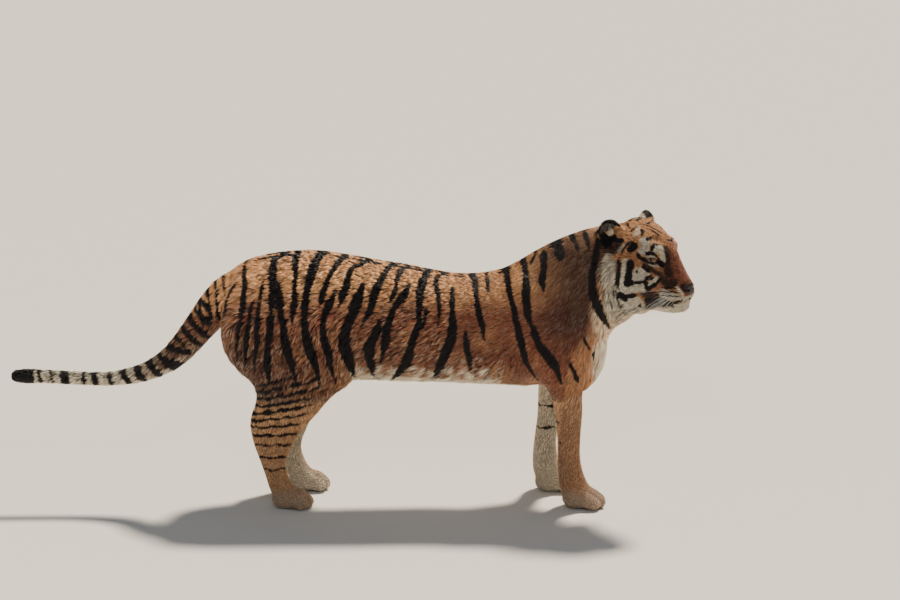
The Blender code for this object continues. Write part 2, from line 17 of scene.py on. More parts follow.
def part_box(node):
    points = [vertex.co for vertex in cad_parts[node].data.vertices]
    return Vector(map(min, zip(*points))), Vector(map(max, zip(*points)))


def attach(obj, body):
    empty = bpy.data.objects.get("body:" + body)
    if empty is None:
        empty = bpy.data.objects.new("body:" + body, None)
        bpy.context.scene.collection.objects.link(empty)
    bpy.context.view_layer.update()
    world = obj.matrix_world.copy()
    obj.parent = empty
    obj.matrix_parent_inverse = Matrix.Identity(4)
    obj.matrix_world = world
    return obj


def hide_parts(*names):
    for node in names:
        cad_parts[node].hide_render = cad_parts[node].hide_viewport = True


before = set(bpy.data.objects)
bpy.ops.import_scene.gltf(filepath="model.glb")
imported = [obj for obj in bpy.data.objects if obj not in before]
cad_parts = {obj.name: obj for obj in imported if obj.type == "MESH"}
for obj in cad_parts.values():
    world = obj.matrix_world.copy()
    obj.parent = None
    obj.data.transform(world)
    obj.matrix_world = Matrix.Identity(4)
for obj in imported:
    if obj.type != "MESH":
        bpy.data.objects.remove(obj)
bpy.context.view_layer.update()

SEED = 7
RANDOM = np.random.default_rng(SEED)
SIDES = {"right": -1, "left": 1}
EYES = ("eye_right", "eye_left")
FLESH = sorted(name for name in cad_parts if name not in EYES)

# ---- Sizes, metres ----
SEAM_OVERLAP = 0.0007  # each solid is grown by this, so that its neighbours meet it
MERGE_DISTANCE = 1e-5
SKIN_GRID = 0.0078
HEAD_YAW = math.radians(-32)
HEAD_PITCH = math.radians(11)
EYE_SET_BACK = 0.0113  # of the eyes behind the head's own origin
EYE_OUTWARDS = math.radians(34)  # where the opening of the lids faces
GAZE_OUTWARDS = math.radians(36)  # where the eyeball looks
LID_HALF_LENGTH = 0.0148
LID_HALF_HEIGHT = 0.0048
LID_SLANT = math.radians(18)  # the outer corner is the higher one
LID_THICKNESS = 0.0018
LID_HIDING = 0.0030  # of the skin behind the eyeball's surface, inside the opening
EAR_TURN = {"right": math.radians(-50), "left": math.radians(64)}  # where each ear opens, from straight ahead
TOE_CLEFT = 0.0065  # depth between two toes
BODY_AXIS = 0.66  # height of the line that places on the trunk are turned about
ROOT_DEPTH = 0.0012  # of each tuft's root in the skin
FLOOR_CLEARANCE = 0.0012  # of the lowest hairs
OUTSIDE = -0.03  # depth in a marking of a place well outside it

# Fur of each part: depth of the coat over the skin, length, half width and spacing of its tufts, all in mm,
# then how ragged it lies
FUR = {
    "head": (3.6, 11, 1.05, 2.7, 0.15),
    "lower_jaw": (3.6, 11, 1.05, 2.7, 0.15),
    "nose": (1.5, 6, 0.8, 2.4, 0.1),
    "ear": (2.2, 9, 1.0, 2.6, 0.2),
    "neck": (9, 30, 1.6, 3.0, 0.35),
    "chest": (9, 28, 1.6, 3.4, 0.35),
    "abdomen": (9, 30, 1.6, 3.6, 1.0),
    "pelvis": (10, 32, 1.6, 3.3, 1.2),
    "thigh": (8.5, 29, 1.6, 3.85, 1.1),
    "upper_arm": (7, 24, 1.6, 3.85, 0.4),
    "shank": (4.5, 16, 1.4, 3.7, 0.5),
    "forearm": (4, 14, 1.35, 3.7, 0.3),
    "hind_foot": (3.5, 12, 1.3, 3.7, 0.3),
    "hind_paw": (2.6, 8, 1.1, 3.2, 0.15),
    "forepaw": (2.6, 8, 1.1, 3.2, 0.15),
    "tail": (8, 27, 1.5, 3.3, 0.9),
}
RUFF_FUR = (15, 58, 1.4, 3.1, 1.15)
CROWN_FUR = (5.5, 17, 1.3, 3.1, 0.3)
BELLY_FUR = (14, 54, 1.6, 3.3, 1.2)
BREAST_FUR = (14, 58, 1.6, 3.2, 1.3)
BREECH_FUR = (13, 46, 1.6, 3.4, 1.3)  # at the rear edge of the thighs


# ---- Frames of reference ----
def middle_of(node):
    low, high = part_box(node)
    return (low + high) / 2


def head_frame():
    """The head's own frame: its origin midway between the eyes, x forward, y left and z up."""
    turn = Matrix.Rotation(HEAD_YAW, 4, "Z") @ Matrix.Rotation(HEAD_PITCH, 4, "Y")
    between = (middle_of("eye_right") + middle_of("eye_left")) / 2
    return Matrix.Translation(between) @ turn @ Matrix.Translation((EYE_SET_BACK, 0, 0))


HEAD = head_frame()
HEAD_TURN = np.array(HEAD)[:3, :3]
TO_HEAD = np.array(HEAD.inverted())


def in_head(points):
    """Points given in the head's own frame."""
    return points @ TO_HEAD[:3, :3].T + TO_HEAD[:3, 3]


def from_head(points):
    return np.asarray(points, float) @ HEAD_TURN.T + np.array(HEAD)[:3, 3]


def round_body(points):
    """Degrees that each point is turned round the trunk, from the top of the back."""
    return np.degrees(np.arctan2(np.abs(points[:, 1]), points[:, 2] - BODY_AXIS))


def kind_of(node):
    """The part's name with no side and no number of its length of tail."""
    for side in SIDES:
        node = node.removesuffix("_" + side)
    return "tail" if node.startswith("tail") else node


# ---- Small numeric helpers ----
def smoothstep(t):
    t = np.clip(t, 0.0, 1.0)
    return t * t * (3 - 2 * t)


def rise(value, start, over):
    """From 0 at start, smoothly, to 1 where the value is that much over it."""
    return smoothstep((value - start) / over)


def fall(value, start, under):
    """From 0 at start, smoothly, to 1 where the value is that much under it."""
    return smoothstep((start - value) / under)


def unit(vectors):
    return vectors / np.maximum(np.linalg.norm(vectors, axis=-1, keepdims=True), 1e-12)


def wave(points, size, turn=0.0):
    """A smooth wandering value from -1 to 1, whose hills are about size apart."""
    p = points * (2 * math.pi / size)
    x, y, z = p[:, 0] + turn, p[:, 1] + 1.7 * turn, p[:, 2] - turn
    long = np.sin(0.83 * x + 1.31 * np.sin(0.47 * z + 0.3 * y))
    long = long + np.sin(0.71 * z - 0.52 * y + 1.13 * np.sin(0.39 * x))
    short = np.sin(1.63 * y + 0.91 * z + 1.7 * np.sin(0.77 * x))
    short = short + np.sin(1.19 * x - 1.41 * z + 0.8 * np.sin(1.3 * y))
    return (long + 0.7 * short) / 3.4


def waves(points, size, turns):
    return np.stack([wave(points, size, turn) for turn in turns], 1)


def polyline(points, step):
    """Points along a line of corners, about step apart."""
    made = []
    for a, b in zip(points, points[1:]):
        a, b = np.array(a, float), np.array(b, float)
        count = max(1, math.ceil(np.linalg.norm(b - a) / step))
        made.extend(a + (b - a) * k / count for k in range(count))
    made.append(np.array(points[-1], float))
    return np.array(made)


def tree_of(places):
    tree = KDTree(len(places))
    for i, place in enumerate(places):
        tree.insert(place, i)
    tree.balance()
    return tree


def spread(values, edges, rounds):
    """Evens out a value per vertex over its neighbours."""
    count = len(values)
    first, second = edges.T
    near = np.maximum(np.bincount(edges.ravel(), minlength=count), 1)
    columns = np.array(values, float).reshape(count, -1)
    for _ in range(rounds):
        for k in range(columns.shape[1]):
            column = columns[:, k]
            total = np.bincount(first, column[second], count) + np.bincount(second, column[first], count)
            columns[:, k] = 0.4 * column + 0.6 * total / near
    return columns.reshape(np.shape(values))


# ---- Meshes, and operators as by hand ----
def read(items, label, width=3, kind=np.float32):
    """A value of every vertex, edge or face, as rows."""
    flat = np.empty(len(items) * width, kind)
    items.foreach_get(label, flat)
    return flat.reshape(-1, width)


def places_of(mesh):
    return read(mesh.vertices, "co").astype(float)


def normals_of(mesh):
    return read(mesh.vertex_normals, "vector").astype(float)


def put_places(mesh, places):
    mesh.vertices.foreach_set("co", places.astype(np.float32).ravel())
    mesh.update()


def put_value(mesh, name, values):
    """An attribute with a number at each vertex."""
    layer = mesh.attributes.new(name, "FLOAT", "POINT")
    layer.data.foreach_set("value", values.astype(np.float32).ravel())


def add_object(name, data):
    made = bpy.data.objects.new(name, data)
    bpy.context.scene.collection.objects.link(made)
    return made


def select_only(*objects):
    bpy.ops.object.select_all(action="DESELECT")
    for obj in objects:
        obj.select_set(True)
    bpy.context.view_layer.objects.active = objects[0]


def open_edit(obj):
    """Edit mode, with all of the object selected."""
    select_only(obj)
    bpy.ops.object.mode_set(mode="EDIT")
    bpy.ops.mesh.select_all(action="SELECT")


def close_edit():
    bpy.ops.object.mode_set(mode="OBJECT")


def apply_modifier(obj, kind, **settings):
    select_only(obj)
    modifier = obj.modifiers.new(kind.title(), kind)
    for name, value in settings.items():
        setattr(modifier, name, value)
    bpy.ops.object.modifier_apply(modifier=modifier.name)


def joined(name, pieces):
    select_only(*pieces)
    bpy.ops.object.join()
    pieces[0].name = pieces[0].data.name = name
    return pieces[0]


# ---- Skin ----
def joined_solids():
    """Copies of the solids, each merged and grown a little, joined into one object."""
    copies = []
    for name in FLESH + list(EYES):
        copy = add_object("skin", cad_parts[name].data.copy())
        open_edit(copy)
        bpy.ops.mesh.remove_doubles(threshold=MERGE_DISTANCE)
        close_edit()
        apply_modifier(copy, "DISPLACE", strength=SEAM_OVERLAP, mid_level=0.0)
        copies.append(copy)
    return joined("skin", copies)


def refine(obj, near):
    """Divides the faces all of whose corners are in near, an array of yes or no per vertex."""
    open_edit(obj)
    bpy.ops.mesh.select_all(action="DESELECT")
    close_edit()
    for polygon in obj.data.polygons:
        polygon.select = all(near[i] for i in polygon.vertices)
    bpy.ops.object.mode_set(mode="EDIT")
    bpy.ops.mesh.select_mode(type="FACE")
    bpy.ops.mesh.subdivide(number_cuts=1)
    close_edit()


def build_skin():
    """One closed skin over all the solids, finer on the face, finer again at nose, ears and eyes."""
    skin = joined_solids()
    apply_modifier(skin, "REMESH", mode="VOXEL", voxel_size=SKIN_GRID)
    smooth_skin(skin.data)
    x, y, z = in_head(places_of(skin.data)).T
    refine(skin, (x > -0.13) & (z > -0.19) & (np.abs(y) < 0.16))
    places = places_of(skin.data)
    local = in_head(places)
    at_nose = np.linalg.norm((local - (0.112, 0, -0.078)) / (0.036, 0.052, 0.034), axis=1) < 1
    refine(skin, (eye_distance(local) < 0.040) | at_nose | near_ears(places))
    refine(skin, eye_distance(in_head(places_of(skin.data))) < 0.027)
    return skin


def smooth_skin(mesh):
    """Takes the steps out of the grid, gently on the ears and the face."""
    places = places_of(mesh)
    edges = read(mesh.edges, "vertices", 2, np.int32)
    local = in_head(places)
    face = (local[:, 0] > -0.06) & (local[:, 2] > -0.2)
    share = np.where(near_ears(places), 0.35, np.where(face, 0.6, 1.0))[:, None]
    share = spread(share, edges, 3)
    put_places(mesh, places * (1 - share) + spread(places, edges, 5) * share)


def near_ears(places):
    """Which places lie within the ears' boxes."""
    found = np.zeros(len(places), bool)
    for name in SIDES:
        low, high = (np.array(corner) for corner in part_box("ear_" + name))
        found |= ((places > low - 0.004) & (places < high + 0.004)).all(1)
    return found


# ---- Lids, lips and small forms of the face ----
def eye_radius():
    low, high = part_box("eye_right")
    return (high.z - low.z) / 2


def eye_centre(side):
    """The middle of an eyeball, in the head's frame."""
    return np.array(HEAD.inverted() @ middle_of("eye_right" if side < 0 else "eye_left"))


def eye_distance(local):
    return np.minimum(*[np.linalg.norm(local - eye_centre(side), axis=1) for side in SIDES.values()])


def eye_axes(side):
    """Where the lids' opening faces, then its way to the outer corner and its way up, in the head's frame."""
    ahead, outwards = math.cos(EYE_OUTWARDS), math.sin(EYE_OUTWARDS)
    looks = np.array((ahead, side * outwards, 0.06))
    looks = looks / np.linalg.norm(looks)
    outer = np.array((-outwards, side * ahead, 0.0))
    up = np.cross(outer, looks) * -side
    turned = outer * math.cos(LID_SLANT) + up * math.sin(LID_SLANT)
    return looks, turned, up * math.cos(LID_SLANT) - outer * math.sin(LID_SLANT)


def lid_measure(local, side):
    """How far out of the lids' opening a point is, 1 at its edge, and its depth along the eye's way."""
    looks, outer, up = eye_axes(side)
    away = local - eye_centre(side)
    along = away @ outer / LID_HALF_LENGTH
    height = away @ up / LID_HALF_HEIGHT
    pointed = height / np.maximum(1 - 0.35 * along**2, 0.25)
    return np.sqrt(along**2 + pointed**2), away @ looks


def open_lids(local):
    """Draws the skin in behind the eyeball inside each opening, and lays the lids on the eyeball round it."""
    for side in SIDES.values():
        centre = eye_centre(side)
        measure, depth = lid_measure(local, side)
        away = local - centre
        near = (depth > -0.004) & (measure < 3.2) & (np.linalg.norm(away, axis=1) < 0.045)
        lid = centre + unit(away) * (eye_radius() + LID_THICKNESS)
        hidden = centre + unit(away) * (eye_radius() - LID_HIDING)
        laid_down = fall(measure, 3.2, 1.9)[:, None]
        opened = fall(measure, 1.06, 0.12)[:, None]
        moved = local * (1 - laid_down) + lid * laid_down
        moved = moved * (1 - opened) + hidden * opened
        local = np.where(near[:, None], moved, local)
    return local


# Small forms: x, distance from the middle, z, reach in x, y and z, then how far each moves the skin along x,
# outwards and z. All mm, in the head's frame.
FACE_FORMS = (
    (114, 0, -104, 16, 4, 14, -3.5, 0, 0),  # groove under the nose
    (100, 27, -108, 22, 16, 16, 3.0, 4.5, 0),  # whisker pad
    (68, 46, -112, 26, 14, 16, 0, 4.5, 0),  # its rear half
    (60, 46, -140, 30, 16, 10, 0, -4.0, 0),  # hollow of the lower lip under it
    (34, 42, -28, 22, 12, 30, -1.5, -3.5, 0),  # hollow beside the nose
    (12, 48, -12, 11, 8, 8, -2.5, 0, 0),  # tear corner
    (2, 60, 25, 20, 22, 8, 3.5, 2.0, -2.0),  # edge of the brow
    (-12, 86, -26, 20, 14, 10, 2.0, 2.5, 0),  # fold under the eye
    (-60, 104, 8, 26, 14, 16, 0, -2.5, 0),  # temple
    (-4, 46, 74, 36, 27, 24, -20, -3, -12),  # slope of the forehead over each eye
    (54, 0, 30, 28, 24, 18, 3, 0, 4),  # arch of the bridge
    (46, 34, 42, 22, 18, 15, 7, 1.5, 0),  # brow over the inner corner of each eye
)
NOSE_FORMS = (
    (124, 15, -80, 9, 7.5, 6, -8.0, 0.5, 0.5),  # nostril
    (116, 26, -79, 9, 7, 3.6, -4.0, -5.0, 0.5),  # its slit, back to the side
    (122, 22, -70, 10, 8, 6, 1.5, 2.0, 1.5),  # wing over the nostril
    (128, 0, -82, 10, 2.2, 12, -1.8, 0, 0),  # groove down the middle
    (124, 0, -66, 8, 10, 5, 1.0, 0, 0.5),  # top edge
)
# Line of the lips: x, distance from the middle, z, mm
LIPS = ((128, 0, -112), (116, 20, -121), (98, 42, -127), (74, 54, -130), (50, 66, -126), (30, 84, -124),
        (16, 96, -132))
LIPS_HALF_WIDTH = 0.0050
LIPS_DEPTH = 0.0060


def pressed(local, forms):
    """Moves places by each of the forms, on both sides."""
    for side in SIDES.values():
        for x, y, z, rx, ry, rz, dx, dy, dz in forms:
            if y == 0 and side > 0:
                continue
            away = (local - np.array((x, side * y, z)) / 1000) / (np.array((rx, ry, rz)) / 1000)
            move = np.array((dx, side * dy, dz))
            local = local + np.exp(-((away**2).sum(1)) * 1.6)[:, None] * move / 1000
    return local


def shape_face(local):
    """Adds the small forms of the face and the nose, and presses in the line of the lips."""
    local = pressed(pressed(local, FACE_FORMS), NOSE_FORMS)
    away, _ = lips_measure(local)
    press = np.exp(-((away / LIPS_HALF_WIDTH) ** 2))
    inward = unit(np.array((0.03, 0.0, -0.10)) - local)
    return local + inward * (press * LIPS_DEPTH)[:, None]


def lips_measure(local):
    """Distance to the line of the lips, and how far along it the nearest place is, from 0 in front to 1."""
    line = polyline(LIPS, 2.0) / 1000
    mirrored = local.copy()
    mirrored[:, 1] = np.abs(mirrored[:, 1])
    near = np.full(len(local), np.inf)
    along = np.zeros(len(local))
    for i, place in enumerate(line):
        distance = np.linalg.norm(mirrored - place, axis=1)
        closer = distance < near
        near[closer] = distance[closer]
        along[closer] = i / len(line)
    return near, along


def nose_mask(local):
    """1 on the nose leather: broad at the wings of the nostrils, narrowing down to the cleft of the lip."""
    x, y, z = local.T
    levels = (-0.104, -0.097, -0.090, -0.082, -0.070, -0.063, -0.057)
    half = np.interp(z, levels, (0.002, 0.008, 0.024, 0.038, 0.039, 0.031, 0.014))
    inside = (np.abs(y) < half) & (z > levels[0]) & (z < levels[-1]) & (x > 0.086)
    return inside.astype(float)


def shape_paws(places, normals, kinds):
    """Presses the clefts between the four toes of each paw into its front half."""
    for kind in ("forepaw", "hind_paw"):
        for name in SIDES:
            low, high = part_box(f"{kind}_{name}")
            middle = (low + high) / 2
            own = (kinds == kind) & (np.sign(places[:, 1]) == np.sign(middle.y))
            across = (places[:, 1] - middle.y) / ((high.y - low.y) / 2)
            front = rise(places[:, 0], high.x - 0.082, 0.035)
            cleft = sum(np.exp(-(((across - edge) / 0.10) ** 2)) for edge in (-0.5, 0.0, 0.5))
            places = places - normals * (own * front * cleft * TOE_CLEFT)[:, None]
    return places


# ---- Markings ----
# Stripes of the trunk, thighs, neck and shoulders: half width in mm at the widest, then places: x in cm and
# degrees round from the top of the back. A stripe that starts at 0 degrees crosses the spine.
STRIPES = (
    (6, (-55.6, 0), (-55.2, 40), (-54.6, 90)),
    (7, (-52.4, 0), (-51.8, 40), (-51.2, 80), (-50.8, 110)),
    (6, (-49.2, 0), (-48.6, 35), (-48.2, 70), (-48.0, 100)),
    (6, (-46.4, 0), (-45.9, 30), (-45.6, 60), (-45.4, 84)),
    (6, (-43.5, 0), (-43.1, 17), (-42.2, 49), (-42.6, 74), (-43.4, 92)),
    (6, (-38.8, 31), (-40.9, 40), (-41.9, 58), (-42.3, 70)),
    (8, (-35.5, 0), (-36, 24), (-35.6, 41), (-36.1, 54), (-36.8, 75), (-37.9, 93), (-38.4, 110),
     (-38.4, 123)),
    (7, (-32.3, 55), (-33.4, 62), (-33.8, 75), (-34.9, 92), (-35.3, 108), (-35.9, 129)),
    (7, (-29.1, 28), (-29.4, 40), (-30.4, 53), (-30.8, 70), (-31.5, 86), (-31.5, 102), (-32.3, 116),
     (-32.5, 132)),
    (13, (-21.5, 0), (-25.9, 14), (-26.1, 30), (-26, 42), (-26.3, 59), (-26.6, 75)),
    (10, (-26.4, 68), (-27, 91), (-27.8, 106), (-28.1, 123), (-27.2, 136)),
    (11, (-24.1, 38), (-23.7, 52), (-23.3, 69), (-22.5, 80), (-22.1, 97), (-21.4, 106), (-20.3, 115),
     (-17.8, 136)),
    (10, (-17.6, 0), (-18.3, 15), (-18.2, 31), (-18.5, 43), (-18.4, 56), (-19.1, 72), (-19.3, 79)),
    (14, (-9, 0), (-12.2, 24), (-13.2, 36), (-14.3, 47), (-15, 63), (-15.4, 79)),
    (12, (-15.2, 70), (-15, 93), (-14, 106), (-12.8, 116), (-11.4, 124), (-10.3, 136)),
    (10, (-1, 0), (-4.4, 21), (-6.1, 30), (-7.8, 41), (-9.2, 54), (-9.9, 64)),
    (11, (-4.6, 46), (-6, 58), (-7.8, 68), (-8.9, 80), (-8.9, 92), (-8.6, 104), (-7.5, 115), (-6.5, 127),
     (-4.8, 140)),
    (11, (7, 0), (3.7, 16), (0.9, 23), (-0.1, 32), (-0.8, 43), (-2.2, 54), (-3.2, 63)),
    (16, (4.9, 40), (3.8, 52), (2.4, 62), (1.4, 73), (-0.4, 85), (-1.5, 97), (-1.5, 110), (-0.5, 122),
     (1.8, 152)),
    (12, (15.5, 0), (12.5, 23), (10.8, 36), (9.5, 46), (8.4, 58), (7.4, 69), (5.6, 78), (4.3, 86)),
    (13, (11.2, 77), (9.8, 92), (8.4, 101), (7.3, 111), (7.3, 123), (8.3, 136), (9.2, 157)),
    (9, (20.5, 0), (18.1, 15), (16.8, 31), (16.1, 47), (14.2, 59)),
    (11, (21.1, 37), (19.3, 51), (16.9, 60), (15.5, 67), (14.4, 78), (13.3, 89), (13, 101), (12.2, 113),
     (10.8, 130)),
    (13, (27.6, 0), (25.6, 31), (24.8, 45), (24.6, 60), (24.3, 73), (24.8, 83)),
    (12, (24.8, 76), (23.2, 93), (21.8, 105), (21.1, 116), (20, 128), (17.4, 142), (14.5, 160)),
    (6, (27.1, 66), (26.4, 80), (25.3, 89)),
    (8, (33, 0), (30.5, 17), (30.2, 35), (31, 49), (31.5, 62), (31.5, 74), (30.8, 87)),
    (7, (35.9, 34), (35.9, 57), (35.9, 75)),
    (13, (36, 62), (36.1, 85), (35.5, 100), (34.1, 110), (32.3, 124), (30.9, 137), (29.8, 157)),
    (10, (42.8, 0), (43.8, 15), (44, 42), (44.6, 61), (45.5, 75), (46.5, 88), (46.9, 100)),
    (8, (40.5, 87), (40.9, 107), (41.9, 123), (42.4, 140)),
    (7, (48, 0), (48.4, 32), (48.3, 49)),
    (11, (54.9, 0), (55.3, 26), (55.9, 46), (57, 61), (57.8, 77), (59, 92), (60.2, 108), (61.4, 122),
     (65.9, 140)),
    (12, (61, 0), (61.5, 21), (61.4, 42), (61.5, 57), (62.2, 74), (63.7, 91)),
    (12, (63, 82), (66.1, 105), (69.3, 115), (71.7, 124), (73.6, 137)),
    (7, (65.6, 0), (64.6, 8), (63.5, 18)),
    (10, (68, 6), (67.8, 27), (66.9, 36), (67.3, 45)),
    (16, (72.3, 0), (73, 11), (73.6, 21)),
    (9, (77.6, 0), (78.4, 9), (79.8, 18)),
    (8, (82, 0), (82.4, 9), (83.4, 20)),
    (6, (80.6, 100), (81.3, 107), (83.8, 127), (84.5, 150)),
    (6, (76, 120), (77.7, 129), (79.4, 140)),
)
STRIPE_GROWTH = 1.27  # hairs of the ground colour close over the edges of a stripe
DEGREE_LENGTH = 0.003  # metres round the trunk that a degree counts for, where a stripe is divided evenly
# Dark lengths along the spine: from and to, x in cm
SPINE = (
    (-33, -17), (-12.5, -7), (-5, 1), (2, 6), (8, 11.5), (13.5, 29), (31.5, 34.5), (37, 40), (52, 57),
     (70, 75),
)
# Bars of the legs, round the outer and rear side: height in cm, half width in mm, slope
HIND_BARS = (
    (48, 5, 0.30), (45, 5, 0.28), (42, 5, 0.25), (39.2, 4.5, 0.22), (36.4, 4.5, 0.2), (33.6, 4, 0.16),
     (30.8, 4, 0.12),
    (27.5, 3.5, 0.05), (23.5, 3.5, 0.0), (19, 3, 0.0), (14.5, 2.5, 0.0),
)
FORE_BARS = ((47, 4, -0.2), (40, 3, -0.1), (32, 3, 0.0), (24, 2.5, 0.0))
# Rings of the tail: distance from its tip in cm, half width in mm
RINGS = (
    (10.8, 7), (15.0, 7), (19.6, 17), (26.2, 8), (30.2, 12), (35.5, 8), (41.0, 12), (46.0, 12), (51.2, 15),
    (56.6, 14), (61.6, 10), (66.0, 13), (71.0, 11), (75.2, 12), (79.6, 11), (83.6, 10), (87.6, 11),
)
BLACK_TIP = 0.088
# Black marks of the head: half width, then places: x, distance from the middle and z. All mm, in the head's
# frame
HEAD_MARKS = (
    (15, (-207, 130, 25), (-195, 136, -10), (-184, 145, -35), (-177, 159, -76), (-166, 167, -117),
     (-151, 167, -158),
     (-134, 159, -194), (-117, 144, -229), (-104, 121, -260), (-103, 90, -286)),
    (8, (-111, 123, -16), (-99, 131, -38), (-95, 138, -56), (-93, 141, -76), (-87, 144, -98),
     (-75, 144, -119)),
    (13, (-65, 119, -12), (-61, 122, -30), (-59, 125, -47), (-56, 129, -64), (-53, 132, -86)),
    (15, (-198, 112, 22), (-178, 108, 12), (-156, 104, 24)),
    (13, (-192, 114, 44), (-172, 108, 36), (-148, 98, 42)),
    (9, (-196, 112, 62), (-160, 104, 58)),
    (12, (-58, 135, -89), (-41, 126, -84)),
    (5, (-37, 124, -83), (-21, 120, -78), (-7, 115, -72), (2, 110, -62)),
    (5.5, (2, 110, -62), (5, 105, -53), (13, 96, -46)),
    (3.5, (12, 103, -61), (18, 97, -54), (23, 87, -50)),
    (7, (4, 110, -68), (7, 110, -82), (14, 107, -94)),
    (7.5, (14, 107, -94), (24, 98, -82), (33, 86, -71)),
    (5.5, (33, 86, -71), (35, 74, -62), (33, 67, -55)),
    (7, (-52, 106, 17), (-39, 107, 7), (-26, 103, 3), (-14, 95, 1)),
    (4, (-33, 106, 4), (-16, 99, -2), (-1, 86, -8), (6, 61, -14)),
    (9.5, (8, 60, -2), (14, 46, -12), (24, 39, -20)),
    (6.5, (-26, 90, 21), (-16, 78, 24), (-3, 71, 22)),
    (4, (-3, 71, 22), (6, 63, 13), (10, 50, 1)),
    (6, (-15, 78, 32), (-14, 72, 48), (-12, 66, 58), (-1, 52, 63)),
    (6.5, (-44, 70, 63), (-36, 59, 70), (-28, 48, 74)),
    (14.5, (-83, 105, 20), (-75, 94, 37)),
    (7.5, (-20, 108, -17), (-8, 103, -27), (5, 96, -35)),
    (3, (-35, 117, -33), (-33, 118, -48)),
    (11, (-72, 143, -129), (-57, 137, -142), (-45, 130, -152)),
    (8.5, (-55, 137, -137), (-39, 127, -132), (-20, 116, -125)),
    # The broad black under each whisker pad: partly the black lower lip, partly painted shade under the pad
    (14, (14, 100, -134), (30, 94, -136), (48, 80, -144), (62, 66, -152)),
    (11, (40, 84, -128), (60, 66, -138), (80, 54, -146), (92, 46, -148)),
    (12, (24, 92, -150), (48, 78, -160), (70, 62, -162)),
    (6, (67, 49, -146), (85, 51, -134), (107, 50, -122), (121, 38, -114)),
    (6, (-10, 102, -166), (-2, 98, -169)),
    (5, (16, 96, -159), (23, 90, -163)),
    (3.4, (44, 72, -88), (70, 57, -79), (95, 50, -75)),
    (3.2, (46, 76, -99), (81, 62, -90), (106, 55, -87)),
    (3.2, (50, 78, -111), (84, 64, -105), (117, 49, -98)),
    (3.2, (-100, 35, 97), (-76, 28, 99), (-51, 24, 95), (-30, 17, 88), (-12, 7, 83)),
    (3.2, (-66, 43, 91), (-47, 35, 90), (-28, 31, 84), (-12, 27, 79)),
    (5, (-82, 53, 88), (-67, 59, 82), (-68, 69, 71)),
    (4, (8, 20, 69), (17, 4, 66), (20, 0, 60)),
    (4, (-148, 33, 87), (-136, 49, 83), (-122, 58, 81)),
    (4, (-113, 70, 69), (-104, 60, 81), (-101, 51, 88)),
    (9, (-141, 97, 33), (-121, 92, 39)),
    (4, (-83, 88, 50), (-98, 92, 39), (-104, 103, 22), (-106, 114, 2), (-107, 121, -12)),
    (3.6, (-89, 147, -117), (-77, 144, -147), (-64, 136, -178), (-48, 116, -212)),
    (3.4, (-122, 147, -106), (-109, 147, -148), (-93, 142, -184), (-80, 130, -222)),
    (3.2, (-106, 146, -96), (-98, 148, -130), (-84, 144, -170)),
    (3.4, (-66, 140, -172), (-50, 128, -196), (-30, 108, -214)),
    (4.5, (-78, 20, 110), (-78, 0, 113)),
    (5, (-118, 30, 110), (-114, 0, 114)),
    (6, (-150, 34, 104), (-148, 0, 110)),
)
# Pale fur of the head: half width, then places as for the black marks
PALE_MARKS = (
    (14, (-52, 77, 58), (-39, 77, 50), (-34, 83, 35), (-40, 93, 27)),
    (13, (-5, 73, 42), (9, 64, 40)),
    (9, (-1, 64, 55), (11, 57, 50), (19, 56, 28), (19, 41, 1)),
    (3.6, (-12, 96, -4), (-1, 89, -11), (7, 72, -18), (9, 48, -23)),
    (4.5, (-21, 93, 13), (-12, 81, 14), (-2, 75, 12)),
    (19, (-35, 121, -62), (-21, 116, -58), (-9, 111, -48)),
    (14, (-31, 116, -40), (-17, 112, -39), (-4, 105, -43)),
    (12, (-83, 123, -21), (-75, 131, -48), (-72, 136, -71), (-74, 141, -92), (-69, 141, -108)),
    (16, (-57, 137, -114), (-38, 127, -106), (-17, 119, -96), (-1, 114, -92)),
    (29, (-135, 137, -51), (-120, 145, -91), (-105, 148, -125), (-93, 145, -158), (-77, 138, -192)),
    (17, (-146, 130, -26), (-137, 135, -40)),
    (36, (-36, 123, -165), (-20, 109, -170), (-55, 122, -215)),
    (5, (94, 49, -71), (108, 50, -81), (121, 43, -91)),
    (19, (85, 37, -160), (107, 35, -150), (116, 20, -140), (116, 0, -140)),
    (10, (60, 76, -106), (76, 66, -106), (98, 60, -104), (117, 49, -106), (122, 8, -114)),
    (5, (70, 60, -124), (88, 52, -126), (108, 40, -121)),
    (11, (17, 103, -76), (25, 95, -64), (31, 81, -56)),
    (8, (-94, 52, 88), (-84, 65, 79), (-91, 76, 67)),
    (5, (-108, 97, 31), (-114, 108, 17), (-118, 114, 5)),
    (46, (40, 0, -196), (0, 0, -206), (-40, 0, -226), (-75, 30, -256)),
)
# Painted shade of the head, dark rufous: beside the bridge and the nose, under the eye, round the mouth,
# under the jaw and the ear, and in the ruff, where it is partly the ruff's own dark hair; in the same way
SHADE_MARKS = (
    (15, (22, 44, 42), (26, 36, 11), (35, 36, -17), (51, 40, -41)),
    (16, (39, 57, -60), (60, 53, -69), (77, 45, -62)),
    (9, (-15, 102, -10), (4, 90, -25), (21, 73, -38), (28, 57, -45)),
    (12, (-150, 139, -44), (-146, 150, -83), (-131, 152, -124), (-114, 147, -165), (-95, 138, -201)),
    (34, (-128, 140, -60), (-116, 146, -110), (-100, 144, -160), (-80, 130, -206)),
    (26, (-60, 130, -170), (-30, 110, -180), (10, 84, -176)),
    (16, (6, 104, -110), (32, 94, -114), (56, 80, -118)),
    (14, (20, 90, -160), (50, 72, -164), (84, 52, -156)),
    (20, (-190, 120, 8), (-150, 118, 0), (-130, 116, 20)),
)


def body_ray(surface, x, degrees, side):
    """The outermost place of the trunk at x, turned round by degrees from the top of the back."""
    turn = math.radians(degrees)
    way = Vector((0, side * math.sin(turn), math.cos(turn)))
    place, *_ = surface.ray_cast(Vector((x, 0, BODY_AXIS)) + way * 0.5, -way)
    return place


